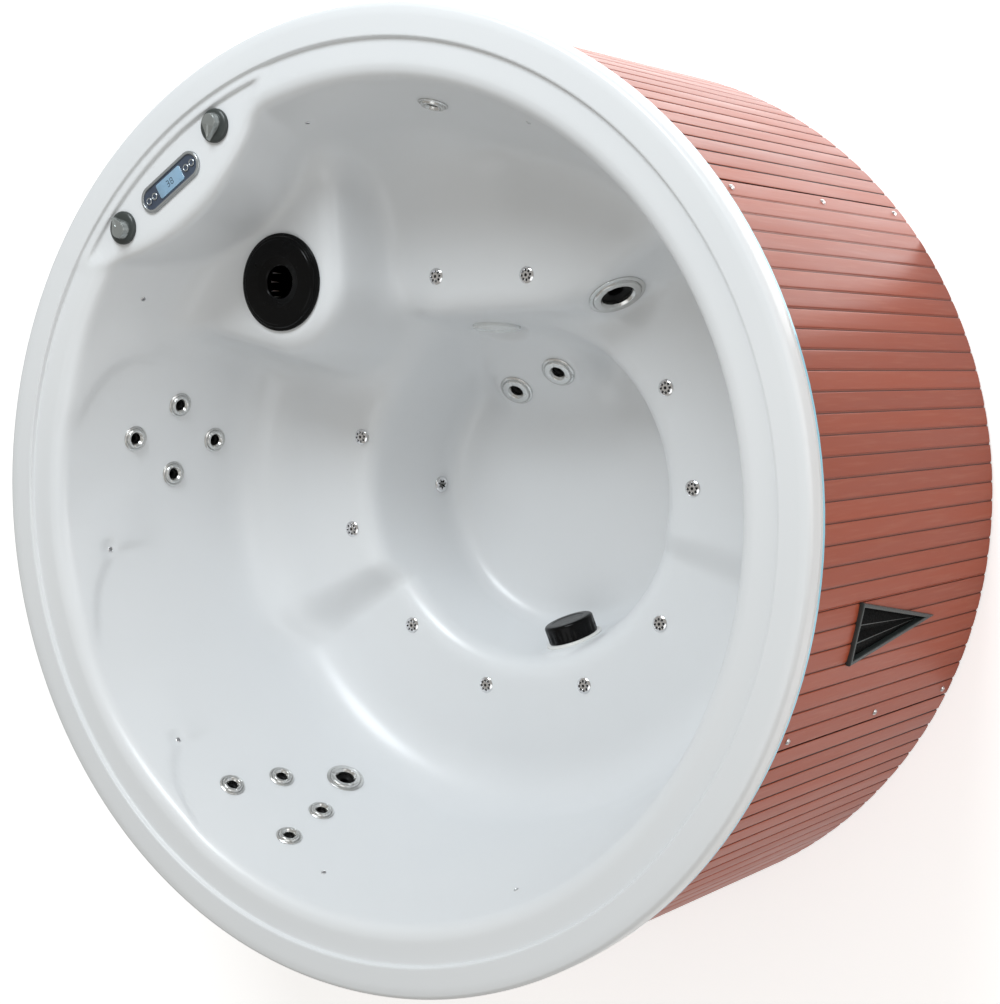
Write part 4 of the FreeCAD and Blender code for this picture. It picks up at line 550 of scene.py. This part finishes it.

# Air injectors: small chrome caps in the seats, each with a ring of eight holes and one in the middle.
# A low dome is spun and its skin sunk at the holes, where it is painted black as the shade inside the holes.
INJECTORS = [(0.487, 0.047, UPPER_SEAT), (0.459, -0.188, UPPER_SEAT), (0.193, -0.413, RIGHT_SEAT),
             (-0.026, -0.456, RIGHT_SEAT), (-0.312, -0.334, LOW_SEAT), (-0.442, -0.127, LOW_SEAT),
             (-0.434, 0.136, LOW_SEAT), (-0.289, 0.331, LOW_SEAT), (-0.052, 0.444, LEFT_SEAT),
             (0.161, 0.393, LEFT_SEAT)]
CAP_RADIUS = 0.018
spread = np.linspace(1.0, 0.0, 22)
profile = np.column_stack([CAP_RADIUS * spread, 0.0010 + 0.0034 * (1.0 - spread ** 4.0)])
profile = np.concatenate([[(CAP_RADIUS, 0.0)], profile])
surface, quads = spun(profile, 80)
holes = [(0.0, 0.0)] + [polar(CAP_RADIUS * 0.58, 45.0 * step) for step in range(8)]
pit = np.zeros(len(surface), dtype=bool)
for x, y in holes:
    pit |= np.hypot(surface[:, 0] - x, surface[:, 1] - y) < 0.0026
surface[pit, 2] -= 0.003
caps, cap_faces = merged([(surface + np.array(place), quads) for place in INJECTORS])
injectors = mesh_piece("injector_caps", caps, cap_faces, finishes["chrome"], finishes["black"])
# Painted shade: the faces sunk at the holes take black for the darkness inside them.
second_finish(injectors, [all(pit[corner] for corner in quad) for quad in quads] * len(INJECTORS))
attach(injectors, "tub")
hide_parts("air_injector_caps")

# Return jet: a small chrome ring low in the footwell with a star-shaped mouth and a bore painted black as shade.
# The inner rings of the spun profile are waved into the star.
profile = rounded([(RETURN_RADIUS - 0.0003, 0.0003, 0), (RETURN_RADIUS, 0.0022, 0.0008),
                   (0.0165, 0.0046, 0.0015), (0.0125, 0.0034, 0.0006), (0.0098, 0.0040, 0.0006),
                   (0.0090, 0.0020, 0), (0.0088, -0.012, 0), (0.0, -0.012, 0)])
surface, quads = spun(profile, 96)
angle = np.arctan2(surface[:, 1], surface[:, 0])
inner = 1.0 - ease(np.hypot(surface[:, 0], surface[:, 1]), 0.0100, 0.0125)
surface[:, :2] *= (1.0 + 0.26 * np.cos(7.0 * angle) * inner)[:, None]
ring = mesh_piece("return_ring", seated(surface, *return_jet), quads, finishes["chrome"], finishes["black"])
# Painted shade: the faces deep in the star-shaped mouth take black for the darkness down the bore.
painted_bore_shade = surface[:, 2] < 0.0021
second_finish(ring, [all(painted_bore_shade[corner] for corner in quad) and inner[quad[0]] > 0.9 for quad in quads])
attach(ring, "tub")
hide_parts("return_jet")

# Lights: a clear lens on the front of the upper seat, and ten small chrome-ringed lenses under the rim.
# Both are spun profiles; the large lens has fine prism rings under a low dome.
spread = np.linspace(0.92, 0.0, 60)
ripple = 0.0003 * np.cos(spread * 46.0 * math.pi)
dome = np.column_stack([LENS_RADIUS * spread, 0.0076 + 0.0032 * (1.0 - spread ** 2) + ripple])
edge = rounded([(LENS_RADIUS, 0.0, 0), (LENS_RADIUS, 0.0076, 0.0018), (LENS_RADIUS - 0.0035, 0.0084, 0.0008),
                (LENS_RADIUS - 0.004, 0.0066, 0)])
surface, quads = spun(np.concatenate([edge, dome]), 112)
lens = mesh_piece("lens_dome", seated(surface, lens_place, lens_normal), quads, finishes["lens"])
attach(lens, "tub")
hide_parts("light_lens")
profile = rounded([(WALL_LIGHT_RADIUS - 0.0001, 0.0, 0), (WALL_LIGHT_RADIUS, 0.0014, 0.0005),
                   (0.0042, 0.0022, 0.0005), (0.0036, 0.0012, 0), (0.0018, 0.0019, 0), (0.0, 0.0021, 0)])
surface, quads = spun(profile, 40)
spots, spot_faces = merged([(seated(surface, *light), quads) for light in wall_lights])
lights = mesh_piece("wall_lenses", spots, spot_faces, finishes["chrome"], finishes["grey_plastic"])
middle = np.hypot(surface[:, 0], surface[:, 1]) < 0.0037
second_finish(lights, [all(middle[corner] for corner in quad) for quad in quads] * len(wall_lights))
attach(lights, "tub")
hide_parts("wall_lights")

# Filter canister, basket and cartridge: painted near-black as shade, seen only as the darkness under the lid's
# hole.
# They keep their CAD shapes and take the painted shade of the well.
for name in ("filter_canister", "filter_basket", "filter_cartridge"):
    coat(name, well_black)

# Filter lid: glossy black moulding that lifts off the deck, with a stepped rim and a dished centre hole.
# One spun profile, closed underneath.
LID_HOLE = 0.036
edge = (lid_high[0] - lid_low[0]) / 2.0
profile = rounded([(LID_HOLE, 0.0070, 0), (edge - 0.004, 0.0070, 0.001), (edge - 0.004, 0.0005, 0.001),
                   (edge, 0.0005, 0.001), (edge, 0.0070, 0.002), (edge - 0.006, 0.0085, 0.001),
                   (edge - 0.008, 0.0135, 0.002), (edge - 0.013, 0.0135, 0.001),
                   (edge - 0.015, 0.0150, 0.001), (LID_HOLE + 0.020, 0.0150, 0.004),
                   (LID_HOLE + 0.003, 0.0105, 0.003), (LID_HOLE, 0.0080, 0.001), (LID_HOLE, 0.0070, 0)])
surface, quads = spun(profile, 128)
lid = mesh_piece("filter_cover", surface + np.array([lid_x, lid_y, DECK]), quads, finishes["black_gloss"])
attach(lid, "lid")
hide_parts("filter_lid")

# Suction cover: a black puck with rounded edges and upright slots round its side, on a white flange.
# The side of the spun profile is sunk in twenty slots.
COVER_RADIUS, COVER_LOW, COVER_TOP = 0.0575, 0.006, 0.048
side = [(COVER_RADIUS, height, 0) for height in (0.012, 0.022, 0.030)]
profile = rounded([(COVER_RADIUS - 0.001, COVER_LOW, 0), (COVER_RADIUS, COVER_LOW + 0.004, 0.002), *side,
                   (COVER_RADIUS, COVER_TOP, 0.007), (0.040, COVER_TOP, 0.003),
                   (0.036, COVER_TOP - 0.0010, 0.001), (0.0, COVER_TOP - 0.0010, 0)], 6)
surface, quads = spun(profile, 200)
angle = np.arctan2(surface[:, 1], surface[:, 0])
height = surface[:, 2]
slot = ease(np.cos(20.0 * angle), 0.1, 0.5) * ease(height, 0.010, 0.014) * (1.0 - ease(height, 0.026, 0.032))
outer = np.hypot(surface[:, 0], surface[:, 1]) > 0.05
surface[:, :2] *= (1.0 - 0.025 * slot * outer)[:, None]
cover = mesh_piece("suction_puck", seated(surface, *suction), quads, finishes["black_gloss"])
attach(cover, "tub")
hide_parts("suction_cover")
profile = rounded([(SUCTION_RADIUS, 0.0, 0), (SUCTION_RADIUS, 0.004, 0.002),
                   (SUCTION_RADIUS - 0.003, 0.0062, 0.002), (0.050, 0.0062, 0)])
surface, quads = spun(profile, 96)
flange = mesh_piece("suction_ring", seated(surface, *suction), quads, finishes["white_plastic"])
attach(flange, "tub")
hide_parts("suction_flange")

# Skirt: upright embossed slats in red-brown wood look, in one access panel and three longer panels.
# A row of points crosses each slat over its rounded edges; the rows run up the front and down the back.
SLATS, SKIRT_RADIUS, SKIRT_LOW, SKIRT_TOP = 154, 0.980, 0.004, 0.905
SKIRT_THICKNESS, SKIRT_CHAMFER, GROOVE, GROOVE_DEPTH, SEAM = 0.014, 0.0015, 0.0042, 0.0022, 0.004
ACCESS_SLATS, ACCESS_AZIMUTH = 28, math.radians(-89.25)
VENT_AZIMUTH, VENT_TOP, VENT_DROP, VENT_HALF = math.radians(-109.2), 0.660, 0.385, 0.0625
PITCH = 2.0 * math.pi / SLATS
slats = Material("slats", Specular_IOR_Level=0.22)
tone = slats.node("ShaderNodeAttribute", attribute_name="tone", out="Fac")
streak = slats.noise(26.0, 5.0, (1.0, 1.0, 0.07))
fine = slats.noise(160.0, 3.0, (1.0, 1.0, 0.05))
# Painted shade: the base colour darkens down into the grooves between slats, by their depth, standing for the
# shade in them.
groove = slats.node("ShaderNodeAttribute", attribute_name="groove", out="Fac")
brown = slats.mix(streak * 0.55 + tone * 0.45, (0.275, 0.050, 0.021), (0.372, 0.077, 0.035))
brown = slats.mix(slats.ramp(fine, 0.52, 0.75, 0.0, 0.35), brown, (0.40, 0.125, 0.070))
slats.set(Base_Color=slats.mix(groove, brown, (0.024, 0.008, 0.006)))
slats.set(Roughness=slats.ramp(streak, 0.3, 0.7, 0.34, 0.44))
slats.set(Normal=slats.bump(fine * 0.6 + streak * 0.4, 0.35, 0.0008))


def slat_columns(start, count):
    """Azimuth, depth below the face and tone of the points across a panel's slats."""
    columns = []
    for i in range(count):
        first = start + i * PITCH + (SEAM if i == 0 else GROOVE) / 2 / SKIRT_RADIUS
        last = start + (i + 1) * PITCH - (SEAM if i == count - 1 else GROOVE) / 2 / SKIRT_RADIUS
        edge = [(0.0, GROOVE_DEPTH), (0.0, 0.0012), (0.0004, 0.0007), (0.0013, 0.0002), (0.0028, 0.0)]
        shade = (math.sin(12.9898 * (i + 31.0 * start)) * 43758.5453) % 1.0
        columns += [(first + run / SKIRT_RADIUS, depth, shade) for run, depth in edge]
        columns += [(first + (last - first) * share, -0.0002, shade) for share in (0.35, 0.65)]
        columns += [(last - run / SKIRT_RADIUS, depth, shade) for run, depth in reversed(edge)]
    return columns


def skirt_panel(name, start, count, opening):
    """One panel of slats; an opening leaves out the vent's triangle."""
    columns = slat_columns(start, count)
    if opening:
        extra = [VENT_AZIMUTH + side * VENT_HALF / SKIRT_RADIUS for side in (-1, 0, 1)]
        columns = sorted(columns + [(azimuth, 0.0, 0.5) for azimuth in extra])
    azimuth, depth, shade = np.array(columns).T
    width = len(azimuth)
    offset = np.abs(azimuth - VENT_AZIMUTH) * SKIRT_RADIUS
    low = VENT_TOP - VENT_DROP * opening * np.maximum(1.0 - offset / VENT_HALF, 0.0)
    whole = low > VENT_TOP - 1e-6
    face = SKIRT_RADIUS - depth
    bevel = face - SKIRT_CHAMFER
    back = np.full(width, SKIRT_RADIUS - SKIRT_THICKNESS)
    rows = [(bevel, SKIRT_LOW), (face, SKIRT_LOW + SKIRT_CHAMFER), (face, low), (face, VENT_TOP),
            (face, SKIRT_TOP - SKIRT_CHAMFER), (bevel, SKIRT_TOP), (back, SKIRT_TOP), (back, VENT_TOP),
            (back, low), (back, SKIRT_LOW)]
    points = np.concatenate([np.column_stack([r * np.cos(azimuth), r * np.sin(azimuth), z + 0.0 * azimuth])
                             for r, z in rows])

    def corner(row, column):
        """Index of a point; where the panel is whole, the two rows at the vent's height are one."""
        if whole[column]:
            row = {3: 2, 7: 8}.get(row, row)
        return row * width + column

    faces = []
    for j in range(width - 1):
        strips = [(0, 1), (1, 2), (3, 4), (4, 5), (5, 6), (6, 7), (8, 9), (9, 0)]
        if not (whole[j] and whole[j + 1]):
            strips += [(2, 8), (7, 3)]
        faces += [(corner(i, j), corner(i, j + 1), corner(k, j + 1), corner(k, j)) for i, k in strips]
    for around, column in ((range(len(rows)), 0), (reversed(range(len(rows))), width - 1)):
        faces.append(tuple(dict.fromkeys(corner(row, column) for row in around)))
    kept = sorted({point for quad in faces for point in quad})
    order = {point: index for index, point in enumerate(kept)}
    faces = [tuple(order[point] for point in quad) for quad in faces]
    panel = mesh_piece(name + "_slats", points[kept], faces, slats, crease=35.0)
    # Painted shade: a point attribute taken from the depth darkens the grooves.
    for attribute, values in (("tone", shade), ("groove", ease(depth, 0.0012, GROOVE_DEPTH))):
        layer = panel.data.attributes.new(attribute, "FLOAT", "POINT")
        layer.data.foreach_set("value", np.tile(values, len(rows))[kept].astype(np.float32))
    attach(panel, "tub")
    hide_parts(name)


panel_start = ACCESS_AZIMUTH - ACCESS_SLATS * PITCH / 2
skirt_panel("access_panel", panel_start, ACCESS_SLATS, True)
panel_start += ACCESS_SLATS * PITCH
side_slats = (SLATS - ACCESS_SLATS) // 3
for name in ("skirt_panel_left", "skirt_panel_rear", "skirt_panel_right"):
    skirt_panel(name, panel_start, side_slats, False)
    panel_start += side_slats * PITCH

# Vent: a black triangle pointing down in the access panel, a rounded frame round pleats fanning from its tip.
# The frame's profile is carried round the three corners; the pleats are a ridged grid narrowing to the tip, with a
# painted highlight of lighter grey along their ridges.
vent_out = np.array([math.cos(VENT_AZIMUTH), math.sin(VENT_AZIMUTH), 0.0])
vent_across = np.array([-vent_out[1], vent_out[0], 0.0])
vent_place = vent_out * SKIRT_RADIUS + np.array([0.0, 0.0, VENT_TOP])
slant = math.hypot(VENT_HALF, VENT_DROP)


def vent_points(across, down, out):
    """Points on the vent, from its upper edge down and out of the skirt."""
    return vent_place + across[..., None] * vent_across - down[..., None] * UP + out[..., None] * vent_out


def vent_corners(inset):
    """Across and down of the three corners of the triangle, set in from its outline."""
    tip = VENT_DROP - inset * slant / VENT_HALF
    side = (tip - inset) * VENT_HALF / VENT_DROP
    return np.array([(-side, inset), (0.0, tip), (side, inset)])


FRAME_WIDTH, FRAME_HEIGHT = 0.008, 0.008
profile = rounded([(0.0, -0.001, 0), (0.0, FRAME_HEIGHT, 0.003), (FRAME_WIDTH, FRAME_HEIGHT, 0.003),
                   (FRAME_WIDTH, -0.006, 0)])
grid = []
for inset, out in profile:
    corners = vent_corners(inset)
    grid.append(vent_points(corners[:, 0], corners[:, 1], np.full(3, out)))
vent_grey = mottled("vent_grey", (0.018, 0.025, 0.024), (0.028, 0.037, 0.036), 30.0, 0.4, 0.0003)
vent_frame = mesh_piece("vent_surround", np.array(grid), grid_faces(len(grid), 3), vent_grey, crease=25.0)
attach(vent_frame, "tub")
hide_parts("vent_frame")
FAN_COLUMNS, FAN_ROWS = 61, 40
fan = np.linspace(-1.0, 1.0, FAN_COLUMNS)
corners = vent_corners(FRAME_WIDTH - 0.0005)
share = np.linspace(0.0, 1.0, FAN_ROWS)[:, None]
down = corners[0, 1] + (corners[1, 1] - corners[0, 1]) * share + 0.0 * fan
across = corners[2, 0] * (1.0 - share) * fan
pleat = np.minimum(np.abs(fan) * 3.0, (1.0 - np.abs(fan)) * 1.5)
rise = -0.004 + 0.011 * pleat * (1.0 - share)
vent_black = mottled("vent_black", (0.0020, 0.0022, 0.0022), (0.0040, 0.0044, 0.0044), 30.0, 0.6,
                     Specular_IOR_Level=0.02)
pleats = vent_points(across, down, rise)
faces = grid_faces(FAN_ROWS, FAN_COLUMNS, closed=False)
louvres = mesh_piece("vent_pleats", pleats, faces, vent_black, vent_grey, crease=25.0)
# Painted highlight: a narrow strip along the pleats' ridges takes the lighter frame grey for the line of light on
# them.
painted_crest_highlight = np.abs(np.abs(fan) - 1.0 / 3.0) < 0.025
second_finish(louvres, [painted_crest_highlight[face[0] % FAN_COLUMNS] for face in faces])
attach(louvres, "tub")
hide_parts("vent_louvres")

# Air knobs: a dark grey disc under a lighter grip that tapers to a pointer, each turning on its valve.
# A height over a round plan: the disc, and on it the grip with upright sides and a raised line to its tip.
KNOB_RADIUS, GRIP_BACK, GRIP_TIP, GRIP_REACH = 0.036, 0.0215, 0.0030, 0.037
knob_grey = mottled("knob_grey", (0.026, 0.032, 0.031), (0.042, 0.050, 0.048), 40.0, 0.34, 0.0002, swing=0.15)
grip_grey = mottled("grip_grey", (0.28, 0.30, 0.295), (0.34, 0.36, 0.355), 30.0, 0.24, swing=0.08,
                    Metallic=0.6)
angles = np.linspace(0.0, 2.0 * math.pi, 180, endpoint=False)
spread = np.concatenate([np.linspace(1.0, 0.02, 64), [0.0]])[:, None]


def grip_depth(u, v):
    """Depth inside the grip's plan: a large circle behind and a small one at the tip, joined by tangents."""
    along, across = u + 0.006, np.abs(v)
    lean = (GRIP_BACK - GRIP_TIP) / GRIP_REACH
    side = math.sqrt(1.0 - lean * lean)
    share = along * side - across * lean
    flank = GRIP_BACK - (across * side + along * lean)
    behind = GRIP_BACK - np.hypot(along, across)
    ahead = GRIP_TIP - np.hypot(along - GRIP_REACH, across)
    return np.where(share < 0.0, behind, np.where(share > side * GRIP_REACH, ahead, flank))


for name, pointer in (("air_knob_upper", 158.0), ("air_knob_lower", 36.0)):
    joint = next(joint for joint in frame["joints"] if joint["name"] == name + "_turn")
    turned = math.radians(pointer)
    u = KNOB_RADIUS * spread * np.cos(angles - turned)
    v = KNOB_RADIUS * spread * np.sin(angles - turned)
    disc = 0.0045 + 0.0065 * np.sqrt(1.0 - 0.98 * spread ** 6) + 0.0 * angles
    depth = grip_depth(u, v)
    crown = 0.0265 - 0.30 * np.maximum(u, 0.0) + 0.0030 * np.exp(-(v / 0.0022) ** 2) * ease(u, -0.004, 0.006)
    height = disc + (crown - disc) * ease(depth, 0.0, 0.0045)
    plan = KNOB_RADIUS * spread
    top = np.stack([plan * np.cos(angles), plan * np.sin(angles), height], axis=-1)
    foot = top[:1] * (1.0, 1.0, 0.0) + (0.0, 0.0, 0.0004)
    grid = np.concatenate([foot, top[:-1]])
    faces = grid_faces(len(grid), len(angles)) + pole_faces((len(grid) - 1) * len(angles), len(angles))
    points = np.concatenate([grid.reshape(-1, 3), [top[-1, 0]]]) + np.array(joint["pos_m"])
    knob = mesh_piece(name + "_cap", points, faces, knob_grey, grip_grey, crease=80.0)
    on_grip = np.concatenate([np.zeros(len(angles)), depth[:-1].reshape(-1), [1.0]]) > 0.0008
    second_finish(knob, [on_grip[face[0]] for face in faces])
    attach(knob, name + "_turner")
    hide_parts(name)

# Control panel: silver oval bezel round a dark key overlay, a light blue display with two digits, four keys.
# The bezel's rounded section follows an oval path; the overlay and display are thin plates set in it.
PANEL_REACH, PANEL_AZIMUTH, PANEL_TURN = 0.844, 30.8, math.radians(116.0)
PANEL_LENGTH, PANEL_WIDTH, BEZEL = 0.185, 0.060, 0.007
panel_place = np.array([*polar(PANEL_REACH, PANEL_AZIMUTH), SHELF_TOP])


def oval_rings(profile, count):
    """Points round a stadium for each inset from the panel's outline and height of a profile."""
    straight = (PANEL_LENGTH - PANEL_WIDTH) / 2.0
    angles = np.linspace(0.0, 2.0 * math.pi, count, endpoint=False)
    rings = []
    for inset, out in profile:
        radius = PANEL_WIDTH / 2.0 - inset
        along = radius * np.cos(angles) + straight * np.sign(np.cos(angles))
        rings.append(np.column_stack([along, radius * np.sin(angles), np.full(count, out)]))
    return np.concatenate(rings)


profile = rounded([(0.0, 0.0, 0), (0.0, 0.006, 0.003), (BEZEL, 0.006, 0.002), (BEZEL, 0.0005, 0)], 6)
points = seated(oval_rings(profile, 96), panel_place, UP, PANEL_TURN)
bezel = mesh_piece("panel_rim", points, grid_faces(len(profile), 96), finishes["silver"])
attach(bezel, "tub")
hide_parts("panel_bezel")
overlay = Material("overlay", Coat_Weight=0.6, Coat_Roughness=0.05)
sheen = overlay.noise(40.0, 4.0)
overlay.set(Base_Color=overlay.mix(sheen, (0.018, 0.028, 0.050), (0.060, 0.085, 0.130)))
overlay.set(Roughness=overlay.ramp(overlay.noise(200.0), 0.3, 0.7, 0.19, 0.26))
coat("panel_housing", overlay)
display = Material("display", Coat_Weight=0.8, Coat_Roughness=0.03)
glow = display.noise(22.0, 2.0)
display.set(Base_Color=display.mix(glow, (0.17, 0.31, 0.45), (0.30, 0.45, 0.59)), Roughness=0.15)
DISPLAY_LENGTH, DISPLAY_WIDTH, DISPLAY_TOP = 0.078, 0.034, 0.0041
CORNER, OUTLINE = 0.004, 60
angles = (np.arange(OUTLINE) + 0.5) * 2.0 * math.pi / OUTLINE
plan = np.column_stack([np.sign(np.cos(angles)), np.sign(np.sin(angles))])
plan = plan * (DISPLAY_LENGTH / 2 - CORNER, DISPLAY_WIDTH / 2 - CORNER)
plan = plan + CORNER * np.column_stack([np.cos(angles), np.sin(angles)])
levels = [(1.0, -0.002), (1.0, DISPLAY_TOP - 0.0004), (0.985, DISPLAY_TOP), (0.5, DISPLAY_TOP + 0.0002)]
rings = [np.column_stack([plan * scale, np.full(OUTLINE, out)]) for scale, out in levels]
surface = np.concatenate(rings + [[(0.0, 0.0, DISPLAY_TOP + 0.0002)]])
quads = grid_faces(len(levels), OUTLINE) + pole_faces((len(levels) - 1) * OUTLINE, OUTLINE)

# Digits on the display: seven bars each, every bar a thin raised hexagon in black.
# Which bars are lit spells a water temperature; they are one mesh with the display's glass.
BARS = {"a": (0, 1, 0), "b": (0.5, 0.5, 90), "c": (0.5, -0.5, 90), "d": (0, -1, 0), "e": (-0.5, -0.5, 90),
        "f": (-0.5, 0.5, 90), "g": (0, 0, 0)}
BAR_LENGTH, BAR_WIDTH, BAR_GAP, BAR_RAISE = 0.0066, 0.0013, 0.0003, 0.0004
half_bar, half_width = BAR_LENGTH / 2 - BAR_GAP, BAR_WIDTH / 2
point = half_bar - half_width
hexagon = np.array([(-half_bar, 0), (-point, -half_width), (point, -half_width),
                    (half_bar, 0), (point, half_width), (-point, half_width)])
pieces = [(surface, quads)]
for shift, lit in ((-0.006, "abgcd"), (0.006, "abcdefg")):
    for bar in lit:
        along, up_by, degrees = BARS[bar]
        c, s = math.cos(math.radians(degrees)), math.sin(math.radians(degrees))
        middle = (shift + along * BAR_LENGTH, up_by * BAR_LENGTH)
        outline = -(hexagon @ np.array([(c, s), (-s, c)]) + middle)
        low = np.column_stack([outline, np.full(6, DISPLAY_TOP - BAR_RAISE)])
        sides = grid_faces(2, 6) + [tuple(range(6, 12))]
        pieces.append((np.concatenate([low, low + (0.0, 0.0, 2.0 * BAR_RAISE)]), sides))
points, faces = merged(pieces)
points = seated(points, panel_place, UP, PANEL_TURN)
screen = mesh_piece("display_glass", points, faces, display, finishes["black"])
second_finish(screen, np.arange(len(faces)) >= len(quads))
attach(screen, "tub")
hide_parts("display_window")

# Keys: round caps with a dished top in the overlay's finish and a raised silver ring.
# A spun profile; each is pressed straight into the panel.
profile = rounded([(0.0080, -0.004, 0), (0.0080, 0.0038, 0.0006), (0.0064, 0.0048, 0.0006),
                   (0.0052, 0.0040, 0.0005), (0.0018, 0.0034, 0), (0.0, 0.0033, 0)])
surface, quads = spun(profile, 56)
radius = np.hypot(surface[:, 0], surface[:, 1])
ring = (radius > 0.0050) & (radius < 0.0079)
ringed = [all(ring[corner] for corner in quad) for quad in quads]
for number, along in enumerate((-0.072, -0.053, 0.053, 0.072), 1):
    cap = seated(surface + (along, 0.0, 0.0), panel_place, UP, PANEL_TURN)
    key = mesh_piece("key_%d" % number, cap, quads, overlay, finishes["silver"])
    second_finish(key, ringed)
    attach(key, "panel_button_%d_key" % number)
    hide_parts("panel_button_%d" % number)
